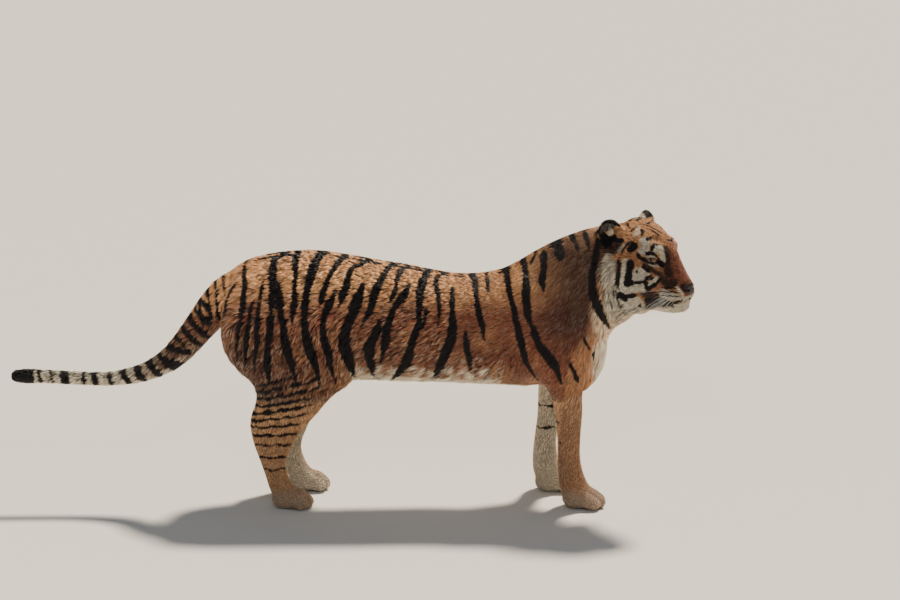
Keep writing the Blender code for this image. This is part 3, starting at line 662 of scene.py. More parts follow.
def stroke_width(share, widest, starts_middle, ends_middle=False):
    """Half width at a share of a stroke's length: it tapers to its ends, but for one across the middle."""
    start = 0.85 if starts_middle else smoothstep(share / 0.18) * 0.6 + 0.4
    end = 1.0 if ends_middle else smoothstep((1 - share) / 0.30) * 0.65 + 0.35
    swell = 1 + 0.16 * math.sin(9 * share + widest)
    return widest / 1000 * min(start, end) * swell


def body_strokes(surface):
    """Places along the middle of every stripe of the body on both sides, and its half width there."""
    places, widths = [], []
    spine = tuple((8, (start, 6), (end, 6)) for start, end in SPINE)
    for number, (widest, *corners) in enumerate(STRIPES + spine):
        for side in SIDES.values():
            far = max(side, 0)
            shift = far * 0.012 * math.sin(2.3 * number)
            broader = STRIPE_GROWTH * (1 + 0.15 * far * math.sin(5 * number))
            rows = [(x / 100 + shift * smoothstep(turn / 30), turn * DEGREE_LENGTH, 0) for x, turn in corners]
            line = polyline(rows, 0.004)
            for k, (x, turn, _) in enumerate(line):
                place = body_ray(surface, x, turn / DEGREE_LENGTH, side)
                if place is not None:
                    places.append(place)
                    widths.append(stroke_width(k / len(line), widest * broader, corners[0][1] == 0))
    return np.array(places), np.array(widths)


def head_strokes(surface, rows, step, side):
    """The same for marks on one side of the head. Marks with short steps taper, broad patches don't."""
    places, widths = [], []
    for widest, *corners in rows:
        line = polyline(corners, step) / 1000
        line[:, 1] *= side * (1.0 if side < 0 else 0.97)
        ends_middle = corners[-1][1] == 0
        for k, place in enumerate(from_head(line)):
            nearest, *_ = surface.find_nearest(Vector(place))
            places.append(nearest)
            tapered = stroke_width(k / len(line), widest, False, ends_middle)
            widths.append(tapered if step < 4 else widest / 1000)
    return np.array(places), np.array(widths)


def inside_strokes(points, strokes):
    """How far inside the strokes each point is, in metres, and less than nothing outside."""
    inside = np.full(len(points), OUTSIDE)
    for place, width in zip(*strokes):
        near = np.abs(points[:, 2] - place[2]) < width - OUTSIDE
        away = points[near] - place
        inside[near] = np.maximum(inside[near], width - np.sqrt((away**2).sum(1)))
    return inside


class Markings:
    """Answers what colour the coat has at any place."""

    def __init__(self, surface):
        places, self.widths = body_strokes(surface)
        self.tree = tree_of(places)
        tables = ((HEAD_MARKS, 2.5), (PALE_MARKS, 6.0), (SHADE_MARKS, 6.0))
        self.head = {}
        for side in SIDES.values():
            self.head[side] = [head_strokes(surface, rows, step, side) for rows, step in tables]
        self.tail = polyline([(x, 0, z) for x, z in tail_line()], 0.005)
        self.tail_tree = tree_of(self.tail)
        steps = np.linalg.norm(np.diff(self.tail, axis=0), axis=1)
        self.along_tail = np.concatenate([[0], np.cumsum(steps)])

    def at(self, points, normals, ears):
        """Each attribute of the coat's colour at places of the skin. ears tells which are on an ear."""
        local = in_head(points)
        at_head = (local[:, 0] > -0.23) & (local[:, 2] > -0.33)
        stripe = self.body_stripes(points, normals, at_head)
        pale = body_pale(points, normals)
        shade = body_shade(points, local)
        for side in SIDES.values():
            here = at_head & ((local[:, 1] < 0) == (side < 0))
            found = self.head_marks(points[here], local[here], side)
            for values, added in zip((stripe, pale, shade), found):
                values[here] = np.maximum(values[here], added)
        # Painted shade: the pale fur of the ruff and under the jaw is dulled, but not at the front of the
        # face
        ruff = np.maximum(fall(local[:, 0], -0.07, 0.04), fall(local[:, 2], -0.15, 0.04))
        pale = pale * (1 - 0.38 * at_head * ruff * fall(local[:, 0], 0.06, 0.04))
        colours = {"stripe": stripe, "pale": pale, "painted_shade_and_umber": shade, "tone_and_painted_light": tone_and_painted_light(points, local)}
        paint_ears(colours, points, normals, ears)
        return colours

    def body_stripes(self, points, normals, at_head):
        """How far inside the stripes, bars and rings each point is."""
        warp = 0.0026 * waves(points, 0.036, (0, 2, 4)) + 0.0012 * waves(points, 0.011, (1, 3, 5))
        warped = points + warp
        inside = np.full(len(points), OUTSIDE)
        for i in np.nonzero(~at_head | (points[:, 0] < 0.93))[0]:
            for _, index, distance in self.tree.find_n(warped[i], 6):
                inside[i] = max(inside[i], self.widths[index] - distance)
        inside = np.maximum(inside, leg_bars(warped))
        tail = points[:, 0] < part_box("tail_root")[1].x - 0.03
        if tail.any():
            inside[tail] = np.maximum(inside[tail], self.rings(warped[tail], normals[tail]))
        return inside

    def rings(self, points, normals):
        near = np.array([self.tail_tree.find(place)[1] for place in points], int)
        along = self.along_tail[near] + 0.005 * wave(points, 0.03)
        slanted = along + 0.3 * (points[:, 2] - self.tail[near][:, 2])
        narrowed = 1 - 0.45 * fall(normals[:, 2], -0.1, 0.8)
        inside = BLACK_TIP - along
        for centre, half in RINGS:
            inside = np.maximum(inside, half / 1000 * narrowed - np.abs(slanted - centre / 100))
        return inside

    def head_marks(self, points, local, side):
        """How far inside the black marks of a side of the head points are, how pale and how shaded."""
        warped = points + 0.0010 * waves(points, 0.013, (0, 2, 4))
        black, pale, shade = (inside_strokes(warped, strokes) for strokes in self.head[side])
        black = np.maximum(black, eye_lines(local, side))
        return black, smoothstep(pale / 0.007 + 0.5), smoothstep(shade / 0.012 + 0.5)


def eye_lines(local, side):
    """The black skin round an eye and along the lips."""
    measure, depth = lid_measure(local, side)
    rim = np.where((depth > 0) & (measure < 3), 0.0052 - np.abs(measure - 1.25) * 0.010, OUTSIDE)
    away, along = lips_measure(local)
    return np.maximum(rim, 0.0045 + 0.0065 * along - away)


def leg_bars(points):
    """How far inside the bars of the legs each point is."""
    inside = np.full(len(points), OUTSIDE)
    legs = ((HIND_BARS, "hind_foot", 0.16, 1.0), (FORE_BARS, "forearm", 0.10, -0.9))
    for bars, node, reach, facing in legs:
        for name, way in SIDES.items():
            centre = middle_of(f"{node}_{name}")
            here = (np.sign(points[:, 1]) == way) & (np.abs(points[:, 0] - centre.x) < reach)
            here &= points[:, 2] < 0.50
            x, y, z = points[here].T
            outer = (y - centre.y) * way / 0.045
            rear = (centre.x - x) / 0.05
            share = smoothstep((outer * facing + 0.6 * rear + 0.7) / 0.9)
            for height, half, slope in bars:
                level = z - height / 100 - slope * (x - centre.x)
                level = level + 0.006 * wave(points[here], 0.05, height)
                swell = 1.3 + 0.7 * wave(points[here], 0.04, height + 1)
                bar = np.where(share > 0.15, half / 1000 * share * swell - np.abs(level), OUTSIDE)
                inside[here] = np.maximum(inside[here], bar)
    return inside


def body_shade(points, local):
    """How dark the painted shade is, from 0 to 1: on the neck behind the head, and on the lower flanks, more
    towards the thighs.
    """
    x, _, z = points.T
    neck = 0.95 * (rise(x, 0.54, 0.24) * fall(z, 1.02, 0.12))
    neck = neck * rise(z, 0.50, 0.20) * fall(local[:, 0], -0.13, 0.04)
    low = fall(z, 0.80, 0.26) * rise(z, 0.36, 0.06) * fall(x, 0.70, 0.2)
    return np.maximum(neck, low * (0.42 + 0.34 * fall(x, -0.05, 0.25)))


def body_pale(points, normals):
    """How white the ground colour is behind the head, from 0 to 1."""
    x, y, z = points.T
    inward = -np.sign(y) * normals[:, 1]
    edge = 130 + 8 * rise(x, 0.40, 0.2) + 22 * wave(points, 0.05) + 8 * wave(points, 0.013, 2)
    belly = rise(round_body(points), edge, 22) * (x > -0.42) * (z > 0.34)
    legs = (x < 0.0) | (x > 0.53)
    belly = np.where(legs, belly * rise(inward - 0.45 * normals[:, 2], 0.15, 0.4), belly)
    front = smoothstep((x - 0.822 + 0.02 * wave(points, 0.07)) / 0.045)
    front = front * fall(z, 0.80, 0.08) * (z > 0.36) * (np.abs(y) < 0.15)
    pale = np.maximum(belly, front)
    inner = 0.85 * rise(inward, -0.1, 0.6)
    feet = 0.5 * fall(z, 0.12, 0.09)
    pale = np.where(z < 0.42, np.maximum(np.maximum(inner, feet), 0.15), pale)
    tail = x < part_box("tail_root")[1].x - 0.05
    white_end = 0.85 * fall(x, -0.60, 0.22)
    under = 0.8 * fall(normals[:, 2], 0.1, 0.8) * fall(x, -0.50, 0.15)
    return np.where(tail, np.maximum(white_end, under), pale)


def tone_and_painted_light(points, local):
    """From 0, golden, along the back to 1, deep rufous, on flanks, neck and the bridge of the nose: the
    golden back is painted sunlight, the deep rufous of flanks and neck partly painted shade, the rufous
    bridge and the wandering tone the coat's own.
    """
    turn = round_body(points)
    warm = 0.1 + 0.75 * rise(turn, 30, 50) - 0.2 * rise(turn, 110, 40)
    warm = warm + 0.22 * rise(points[:, 0], 0.45, 0.3) + 0.28 * wave(points, 0.11)
    warm = np.where(points[:, 2] < 0.4, 0.25, warm)
    x, y, z = local.T
    bridge = rise(x, -0.01, 0.04) * fall(np.abs(y), 0.055, 0.03)
    head = 0.35 + 0.5 * bridge * (z > -0.1) + 0.25 * fall(z, 0.05, 0.06)
    return np.clip(np.where(x > -0.16, head, warm), 0, 1)


def ear_frame(name):
    """The ear's own frame: x the way it opens, y to the left of that and z up."""
    turn = HEAD.to_3x3() @ Matrix.Rotation(EAR_TURN[name], 3, "Z")
    return np.array(middle_of("ear_" + name)), np.array(turn)


def paint_ears(colours, points, normals, ears):
    """Black backs with a white spot, black rims, and pale fur inside, darkened most of the way to black as
    painted shade in the ear's hollow.
    """
    for name, side in SIDES.items():
        centre, turn = ear_frame(name)
        here = ears & (np.linalg.norm(points - centre, axis=1) < 0.075)
        place = (points[here] - centre) @ turn
        facing = normals[here] @ turn[:, 0]
        out = np.sqrt((place[:, 1] / 0.046) ** 2 + ((place[:, 2] + 0.016) / 0.050) ** 2)
        spot = 1 - np.sqrt(((side * place[:, 1] - 0.014) / 0.030) ** 2 + ((place[:, 2] - 0.002) / 0.013) ** 2)
        back = facing < 0.1
        white = smoothstep(spot / 0.2 + 0.5) * back
        inner = ~back * fall(out, 0.80, 0.12)
        stripe = np.where(white > 0.5, -0.01, 0.006)
        # Inside the ear: mostly black over the pale fur, as painted shade in its hollow
        colours["stripe"][here] = np.where(inner > 0.5, 0.00072, stripe)
        colours["pale"][here] = np.maximum(white, 0.95 * inner)
        colours["painted_shade_and_umber"][here] = 0.0


def tail_line():
    """The tail's middle line from its tip forward, as x and z, at three places of each of its lengths."""
    corners = []
    for name in ("tail_tip", "tail_lower", "tail_upper", "tail_root"):
        places = places_of(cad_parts[name].data)
        for share in (0.0, 0.33, 0.66):
            at = places[:, 0].min() + share * np.ptp(places[:, 0])
            near = places[np.abs(places[:, 0] - at) < 0.05]
            corners.append((at, (near[:, 2].min() + near[:, 2].max()) / 2))
    corners[0] = (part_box("tail_tip")[0].x, corners[0][1])
    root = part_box("tail_root")[1]
    return corners + [(root.x + 0.08, root.z - 0.02)]


# ---- Lie of the coat ----
# The way that the hairs of each part lie. The trunk and the head are worked out instead.
LIE = {
    "neck": (-0.65, 0.0, -0.85),
    "thigh": (-0.55, 0.0, -1.0),
    "upper_arm": (-0.55, 0.0, -1.0),
    "shank": (-0.25, 0.0, -1.0),
    "forearm": (-0.25, 0.0, -1.0),
    "hind_foot": (-0.25, 0.0, -1.0),
    "forepaw": (1.0, 0.0, -0.55),
    "hind_paw": (1.0, 0.0, -0.55),
    "tail": (-1.0, 0.0, -0.35),
}


def lie_of(places, kinds):
    """The way that the hairs lie at each place, before it is evened out and laid along the skin."""
    x, _, z = places.T
    lie = np.tile((-1.0, 0.0, -0.25), (len(places), 1))
    lie[:, 2] -= 0.45 * fall(z, BODY_AXIS + 0.1, 0.2)
    for kind, way in LIE.items():
        lie[kinds == kind] = way
    lie[(kinds == "chest") & (x > 0.76)] = (-0.35, 0.0, -1.0)
    lie[(kinds == "tail") & (x > -0.75)] = (-0.75, 0.0, -0.8)
    local = in_head(places)
    away = local - np.array((0.15, 0.0, -0.05))
    away[:, 2] -= 0.45 * np.clip(-local[:, 0] + 0.03, 0, 0.2)
    away[:, 1] *= 0.7
    ruff = (fall(local[:, 0], -0.05, 0.05) * fall(local[:, 2], 0.0, 0.06))[:, None]
    low = fall(local[:, 2], -0.10, 0.1)
    hang = np.stack([0.40 * low - 0.35, 0 * low, -1 + 0 * low], 1)
    away = unit(away) * (1 - ruff) + hang * ruff
    chin = (local[:, 2] < -0.13) & (local[:, 0] > 0.0)
    away[chin] = (-0.4, 0.0, -0.9)
    ears = kinds == "ear"
    away[ears] = (-0.1, 0.0, 1.0)
    away[ears, 1] = 0.35 * np.sign(local[ears, 1])
    head = np.isin(kinds, ("head", "lower_jaw", "nose", "ear"))
    lie[head] = (unit(away) @ HEAD_TURN.T)[head]
    return unit(lie)


def along_skin(ways, normals):
    return unit(ways - normals * (ways * normals).sum(1, keepdims=True))


def in_metres(row):
    """A row of fur sizes with its lengths in metres."""
    return np.array(row) * (0.001, 0.001, 0.001, 0.001, 1.0)


class Skin:
    """The skin's mesh with what the coat needs to know at each of its vertices."""

    def __init__(self, obj):
        self.obj = obj
        self.places = places_of(obj.data)
        self.edges = read(obj.data.edges, "vertices", 2, np.int32)
        self.label_parts()
        self.set_fur()
        self.shrink()
        self.triangles = triangles_of(obj.data)
        lie = lie_of(self.places, self.kinds)
        self.lie = along_skin(spread(lie, self.edges, 30), self.normals)

    def label_parts(self):
        """The kind of part that each vertex belongs to, by the nearest solid."""
        corners, faces, kinds = [], [], []
        for name in FLESH:
            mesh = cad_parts[name].data
            start = len(corners)
            corners.extend(vertex.co for vertex in mesh.vertices)
            for polygon in mesh.polygons:
                faces.append([start + i for i in polygon.vertices])
                kinds.append(kind_of(name))
        solids = BVHTree.FromPolygons(corners, faces)
        self.kinds = np.array([kinds[solids.find_nearest(Vector(place))[2]] for place in self.places])

    def set_fur(self):
        """The fur of each part, blended into that of ruff, crown, belly, breast and the thighs' rear edge."""
        local = in_head(self.places)
        x, _, z = self.places.T
        at_head = np.isin(self.kinds, ("head", "lower_jaw"))
        behind = fall(local[:, 0], -0.045, 0.07) * fall(local[:, 2], 0.02, 0.08)
        ruff = at_head * np.maximum(behind, 0.8 * fall(local[:, 2], -0.14, 0.04))
        crown = at_head * fall(local[:, 0], -0.05, 0.06) * (1 - ruff)
        belly = np.isin(self.kinds, ("abdomen", "chest", "pelvis", "neck"))
        belly = belly * rise(round_body(self.places), 105, 30)
        breast = np.isin(self.kinds, ("chest", "upper_arm", "neck"))
        breast = breast * rise(x, 0.83, 0.05) * fall(z, 0.80, 0.06)
        breech = np.isin(self.kinds, ("thigh", "pelvis"))
        breech = breech * fall(x, -0.36, 0.05) * fall(z, 0.78, 0.1)
        fur = np.array([in_metres(FUR[kind]) for kind in self.kinds])
        shares = (ruff, crown, belly, breast, breech)
        for share, row in zip(shares, (RUFF_FUR, CROWN_FUR, BELLY_FUR, BREAST_FUR, BREECH_FUR)):
            fur = fur * (1 - share[:, None]) + share[:, None] * in_metres(row)
        self.fur = spread(fur, self.edges, 12)

    def shrink(self):
        """Draws the skin in by the coat's depth, but for the soles, then shapes the face and the paws."""
        mesh = self.obj.data
        normals = unit(spread(normals_of(mesh), self.edges, 3))
        sole = rise(self.places[:, 2], 0.002, 0.012)[:, None]
        places = self.places - normals * self.fur[:, :1] * (0.25 + 0.75 * sole)
        places = spread(places, self.edges, 1)
        places[:, 2] = np.maximum(places[:, 2], 0.0)
        places = shape_paws(places, normals, self.kinds)
        self.places = from_head(open_lids(shape_face(in_head(places))))
        put_places(mesh, self.places)
        self.normals = normals_of(mesh)


# ---- Coat ----
# Pieces of the coat, and the kinds of part that each covers
PIECES = {
    "coat_face": ("head", "lower_jaw", "nose"),
    "coat_ears": ("ear",),
    "coat_neck": ("neck",),
    "coat_chest": ("chest",),
    "coat_flanks": ("abdomen",),
    "coat_rump": ("pelvis",),
    "coat_thighs": ("thigh", "upper_arm"),
    "coat_lower_legs": ("shank", "forearm", "hind_foot"),
    "coat_paws": ("forepaw", "hind_paw"),
    "coat_tail": ("tail",),
}
MOST_TUFTS = 33000  # in a piece, so that it stays under 200,000 triangles
TUFTS_IN_LOCK = 7  # drawn together, about
EAR_HAIRS = 150  # on each ear


def triangles_of(mesh):
    mesh.calc_loop_triangles()
    return read(mesh.loop_triangles, "vertices", 3, np.int32)


def roots_on(skin, triangles, density):
    """Evenly scattered roots: for each the number of its triangle and the share of each of its corners."""
    a, b, c = (skin.places[triangles[:, k]] for k in range(3))
    area = np.linalg.norm(np.cross(b - a, c - a), axis=1) / 2
    wanted = area / skin.fur[triangles, 3].mean(1) ** 2
    wanted *= min(1.0, MOST_TUFTS / wanted.sum()) * density
    many = np.floor(wanted + RANDOM.random(len(wanted))).astype(int)
    chosen = np.repeat(np.arange(len(triangles)), many)
    u, v = RANDOM.random((2, len(chosen)))
    over = u + v > 1
    u[over], v[over] = 1 - u[over], 1 - v[over]
    return chosen, np.stack([1 - u - v, u, v], 1)


def mixed(values, corners, shares):
    """A value per vertex, at each root."""
    if values.ndim == 1:
        return (values[corners] * shares).sum(1)
    return (values[corners] * shares[:, :, None]).sum(1)


def laid(surface, points, heights):
    """Points moved to their heights over the nearest places of the skin, and those places."""
    made = np.empty_like(points)
    ways = np.empty_like(points)
    for i, point in enumerate(points):
        made[i], ways[i], *_ = surface.find_nearest(Vector(point))
    return made + ways * heights[:, None], made


def tufts_mesh(name, lines, half_widths, ups, colours, patches):
    """One mesh of closed spindles: a point at the root, a ring of three corners and a point at the tip."""
    root, middle, tip = lines
    count = len(root)
    along = unit(tip - root)
    across = unit(np.cross(ups, along))
    lift = unit(np.cross(along, across))
    corners = [root]
    for aside, above in ((-1.0, -0.2), (1.0, -0.2), (0.0, 0.5)):
        corner = middle + across * (aside * half_widths)[:, None]
        corners.append(corner + lift * (above * half_widths)[:, None])
    corners.append(tip)
    places = np.stack(corners, 1).reshape(-1, 3)
    pattern = np.array([(0, 2, 1), (0, 3, 2), (0, 1, 3), (4, 1, 2), (4, 2, 3), (4, 3, 1)])
    faces = (np.arange(count)[:, None, None] * 5 + pattern[None]).reshape(-1, 3)
    mesh = bpy.data.meshes.new(name)
    mesh.vertices.add(len(places))
    mesh.vertices.foreach_set("co", places.astype(np.float32).ravel())
    mesh.loops.add(faces.size)
    mesh.loops.foreach_set("vertex_index", faces.astype(np.int32).ravel())
    mesh.polygons.add(len(faces))
    mesh.polygons.foreach_set("loop_start", np.arange(0, faces.size, 3, dtype=np.int32))
    mesh.update(calc_edges=True)
    for label, values in colours.items():
        put_value(mesh, label, np.broadcast_to(values.reshape(count, -1), (count, 5)))
    put_value(mesh, "tip", np.tile((0, 0.5, 0.5, 0.5, 1), count))
    layout = np.array([(-1.5, 0), (0, -1.2), (0, 1.2), (0.3, 0), (1.5, 0)]) * 0.001
    uv = (patches[:, None, :] + layout[None]).reshape(-1, 2)
    layer = mesh.uv_layers.new(name="OFBake")
    layer.data.foreach_set("uv", uv[faces.ravel()].astype(np.float32).ravel())
    mesh.shade_smooth()
    return mesh


def unwrapped(skin, triangles):
    """Places on a flat layout of this part of the skin, from 0 to 1, for the corners of each triangle."""
    used, index = np.unique(triangles, return_inverse=True)
    mesh = bpy.data.meshes.new("flat")
    mesh.from_pydata(skin.places[used], [], index.reshape(-1, 3).tolist())
    flat = add_object("flat", mesh)
    open_edit(flat)
    bpy.ops.uv.smart_project(angle_limit=math.radians(70), island_margin=0.002)
    close_edit()
    layout = read(mesh.uv_layers.active.data, "uv", 2).reshape(-1, 3, 2)
    bpy.data.objects.remove(flat)
    bpy.data.meshes.remove(mesh)
    return layout


def build_coat(skin, surface, markings):
    kinds = skin.kinds[skin.triangles[:, 0]]
    bare = bare_skin(skin)
    made = []
    for name, parts in PIECES.items():
        own = skin.triangles[np.isin(kinds, parts)]
        chosen, shares = roots_on(skin, own, 1.0)
        keep = RANDOM.random(len(chosen)) > mixed(bare, own[chosen], shares)
        chosen, shares = chosen[keep], shares[keep]
        patches = (unwrapped(skin, own)[chosen] * shares[:, :, None]).sum(1)
        made.append(coat_piece(name, skin, surface, markings, own[chosen], shares, patches))
    made.append(ear_hair(surface))
    return made


def bare_skin(skin):
    """1 where no fur grows: the nose leather, the edges of lids and lips, and the soles."""
    local = in_head(skin.places)
    bare = nose_mask(local)
    for side in SIDES.values():
        measure, depth = lid_measure(local, side)
        bare[(measure < 1.25) & (depth > 0)] = 1.0
    bare[lips_measure(local)[0] < 0.0022] = 1.0
    bare[skin.places[:, 2] < 0.004] = 1.0
    return bare


def coat_piece(name, skin, surface, markings, corners, shares, patches):
    """Tufts from every root, laid along the skin, turned and drawn together in locks, then coloured."""
    roots = mixed(skin.places, corners, shares)
    normals = unit(mixed(skin.normals, corners, shares))
    depth, length, half_width, _, rough = mixed(skin.fur, corners, shares).T
    lie = along_skin(mixed(skin.lie, corners, shares), normals)
    count = len(roots)
    vary = RANDOM.random((4, count))
    curl = wave(roots, 0.030, 1.0)
    locks = wave(roots, 0.021, 4.0)
    swirl = 0.12 * wave(roots, 0.09, 3.0) + rough * (0.42 * curl + 0.22 * wave(roots, 0.014, 2.0))
    swirl = swirl + (0.10 + 0.15 * rough) * (vary[1] - 0.5)
    side = np.cross(normals, lie)
    lie = unit(lie * np.cos(swirl)[:, None] + side * np.sin(swirl)[:, None])
    reach = roots + lie * (length * (0.75 + 0.5 * vary[0]))[:, None]
    leaders = RANDOM.permutation(count)[: max(1, count // TUFTS_IN_LOCK)]
    tree = tree_of(reach[leaders])
    nearest = np.array([leaders[tree.find(place)[1]] for place in reach])
    pull = (rough * (0.30 + 0.45 * vary[2]))[:, None]
    reach = reach * (1 - pull) + reach[nearest] * pull
    clump = vary[0][nearest] - 0.5
    raised = 0.78 + rough * (0.16 * locks + 0.10 * curl + 0.55 * clump)
    tip_height = depth * (raised + 0.26 * (vary[3] - 0.5))
    tip, under_tip = laid(surface, reach, tip_height)
    middle, low = laid(surface, roots * 0.62 + reach * 0.38, tip_height * 0.80)
    high = low * 0.4 + under_tip * 0.6
    root = roots - normals * ROOT_DEPTH
    for line in (root, middle, tip):
        line[:, 2] = np.maximum(line[:, 2], FLOOR_CLEARANCE)
    ears = np.full(count, name == "coat_ears")
    colours, ends = markings.at(low, normals, ears), markings.at(high, normals, ears)
    for label, values in colours.items():
        colours[label] = np.stack([values] * 4 + [ends[label]], 1)
    colours["stripe"] += (0.0018 * (vary[1] - 0.5))[:, None]
    for label, amount, row in (("pale", 0.22 + 0.34 * rough, 2), ("tone_and_painted_light", 0.25, 0)):
        colours[label] = np.clip(colours[label] + (amount * (vary[row] - 0.5))[:, None], 0, 1)
    # Each lock's brightness: random tone, with painted highlights on raised clumps and painted shade in the
    # gaps between them
    streak = (0.35 + 0.25 * rough) * (vary[3] - 0.5) + 0.60 * rough * clump
    colours["lock"] = np.clip(0.42 + streak + 0.15 * rough * locks, 0, 1)
    half_width = half_width * (0.8 + 0.4 * vary[1])
    mesh = tufts_mesh(name, (root, middle, tip), half_width, normals, colours, patches)
    return add_object(name, mesh)


def ear_hair(surface):
    """Long pale locks from the front edge of each ear, swept back across its opening."""
    roots, tips, ups = [], [], []
    for name, side in SIDES.items():
        centre, turn = ear_frame(name)
        for _ in range(EAR_HAIRS):
            above, outwards, reach = RANDOM.random(3)
            height = -0.056 + (0.080 if side < 0 else 0.012) * above
            start = np.array((0.006, -side * (0.022 + 0.020 * outwards), height))
            place, normal, *_ = surface.find_nearest(Vector(centre + turn @ start))
            way = np.array((0.30 + 0.2 * outwards, side * (0.45 + 0.35 * reach), 0.75 - 0.3 * above))
            roots.append(place)
            tips.append(np.array(place) + turn @ unit(way) * (0.018 + 0.020 * reach))
            ups.append(normal)
    roots, tips, ups = np.array(roots), np.array(tips), np.array(ups)
    count = len(roots)
    lines = (roots - ups * 0.001, roots * 0.6 + tips * 0.4 + ups * 0.003, tips)
    same = {"stripe": -0.01, "pale": 0.85, "painted_shade_and_umber": 0.0, "tone_and_painted_light": 0.3, "lock": 0.6}
    colours = {label: np.full(count, value) for label, value in same.items()}
    patches = np.stack([np.arange(count) % 20, np.arange(count) // 20], 1) / 22 + 0.04
    mesh = tufts_mesh("coat_ear_hair", lines, np.full(count, 0.0007), ups, colours, patches)
    return add_object("coat_ear_hair", mesh)


# ---- Nose, eyes, claws, whiskers ----
NOSE_LIFT = 0.0016  # of the leather over the skin
NOSE_THICKNESS = 0.004
CORNEA_BULGE = 0.0016
EYE_CLEARANCE = 0.0002  # inside its solid
HAIR_STEPS = 6


def build_nose(skin):
    """The skin's own faces over the nose, divided finer, lifted a little, shaped and given a thickness."""
    mesh = skin.obj.data.copy()
    nose = add_object("nose_leather", mesh)
    mesh.name = nose.name
    mask = nose_mask(in_head(skin.places)) > 0.5
    bm = bmesh.new()
    bm.from_mesh(mesh)
    bm.verts.ensure_lookup_table()
    bmesh.ops.delete(bm, geom=[vertex for vertex in bm.verts if not mask[vertex.index]], context="VERTS")
    bm.to_mesh(mesh)
    bm.free()
    apply_modifier(nose, "SUBSURF", levels=1, render_levels=1)
    apply_modifier(nose, "DISPLACE", strength=NOSE_LIFT, mid_level=0.0)
    apply_modifier(nose, "SOLIDIFY", thickness=NOSE_THICKNESS, offset=-1.0)
    # The hollow attribute marks the nostrils for painted shade
    away = in_head(places_of(nose.data)) - (0.120, 0, -0.079)
    away[:, 1] = np.abs(away[:, 1]) - 0.018
    hollow = smoothstep(1.9 - np.linalg.norm(away / (0.010, 0.0080, 0.0050), axis=1))
    put_value(nose.data, "hollow", hollow)
    nose.data.shade_smooth()
    return nose


def build_eye(name):
    """An eyeball with a bulging cornea. Its attribute is the angle from where it looks, for the iris."""
    side = SIDES[name.removeprefix("eye_")]
    looks = unit(HEAD_TURN @ np.array((math.cos(GAZE_OUTWARDS), side * math.sin(GAZE_OUTWARDS), -0.03)))
    turn = Vector((0, 0, 1)).rotation_difference(Vector(looks)).to_matrix()
    bpy.ops.object.select_all(action="DESELECT")
    bpy.ops.mesh.primitive_uv_sphere_add(segments=64, ring_count=40, radius=eye_radius() - EYE_CLEARANCE)
    eye = bpy.context.object
    eye.name = eye.data.name = name.replace("eye", "eyeball")
    places = places_of(eye.data)
    angle = np.degrees(np.arccos(np.clip(unit(places)[:, 2], -1, 1)))
    bulge = CORNEA_BULGE * fall(angle, 34, 30)
    places = places + unit(places) * bulge[:, None]
    put_places(eye.data, places @ np.array(turn).T + np.array(middle_of(name)))
    put_value(eye.data, "angle", angle / 90)
    eye.data.shade_smooth()
    return eye


def hair_shape(name, sides, length, radius, droop):
    """A thin hair or claw along x that tapers and bends down, extruded ring by ring from a small disc."""
    bpy.ops.object.select_all(action="DESELECT")
    across = (0, math.pi / 2, 0)
    bpy.ops.mesh.primitive_circle_add(vertices=sides, radius=radius, fill_type="NGON", rotation=across)
    hair = bpy.context.object
    hair.name = hair.data.name = name
    bpy.ops.object.transform_apply(location=True, rotation=True, scale=True)
    open_edit(hair)
    for k in range(HAIR_STEPS):
        drop = -droop * length * (2 * k + 1) / HAIR_STEPS**2
        bpy.ops.mesh.extrude_region_move(TRANSFORM_OT_translate={"value": (length / HAIR_STEPS, 0, drop)})
        shrink = (HAIR_STEPS - k - 0.9) / (HAIR_STEPS - k)
        bpy.ops.transform.resize(value=(1, shrink, shrink))
    close_edit()
    bm = bmesh.new()
    bm.from_mesh(hair.data)
    bmesh.ops.recalc_face_normals(bm, faces=bm.faces)
    bm.to_mesh(hair.data)
    bm.free()
    return hair


def copies_joined(name, model, matrices):
    """A copy of the model at each matrix, joined into one piece."""
    copies = []
    for matrix in matrices:
        mesh = model.data.copy()
        mesh.transform(matrix)
        copies.append(add_object(name, mesh))
    bpy.data.objects.remove(model)
    made = joined(name, copies)
    made.data.shade_smooth()
    return made


def pointed(place, way, roll=0.0, scale=1.0):
    """The matrix that puts a shape modelled along x at a place, pointing along a way."""
    way = Vector(way).normalized()
    up = Vector((0, 0, 1))
    side = up.cross(way).normalized()
    turn = Matrix((way, side, way.cross(side))).transposed().to_4x4()
    return Matrix.Translation(place) @ turn @ Matrix.Rotation(roll, 4, "X") @ Matrix.Scale(scale, 4)


def build_whiskers(surface):
    """Four rows of stiff white whiskers swept back from each pad, and a few over each eye."""
    model = hair_shape("whiskers", 4, 0.150, 0.0010, 0.22)
    rows = []
    for side in SIDES.values():
        for row in range(4):
            for k in range(6):
                ahead, down = 0.052 + 0.0095 * k + 0.004 * (row % 2), -0.087 - 0.0085 * row - 0.0008 * k
                start = (ahead, side * 0.06, down)
                way = (-0.72 + 0.07 * k, side * (0.60 - 0.02 * k), 0.05 - 0.22 * row - 0.03 * k)
                scale = 0.50 + 0.42 * math.sin(1.3 + 0.5 * k + 0.9 * row) ** 2
                rows.append((start, way, side * 0.2, scale))
        for k in range(4):
            start = (-0.002 - 0.008 * k, side * 0.066, 0.048)
            rows.append((start, (0.15 - 0.1 * k, side * 0.35, 0.8), 0.0, 0.36))
    matrices = []
    for start, way, roll, scale in rows:
        place, *_ = surface.find_nearest(Vector(from_head([start])[0]))
        matrices.append(pointed(place, HEAD_TURN @ np.array(way), roll, scale))
    return copies_joined("whiskers", model, matrices)


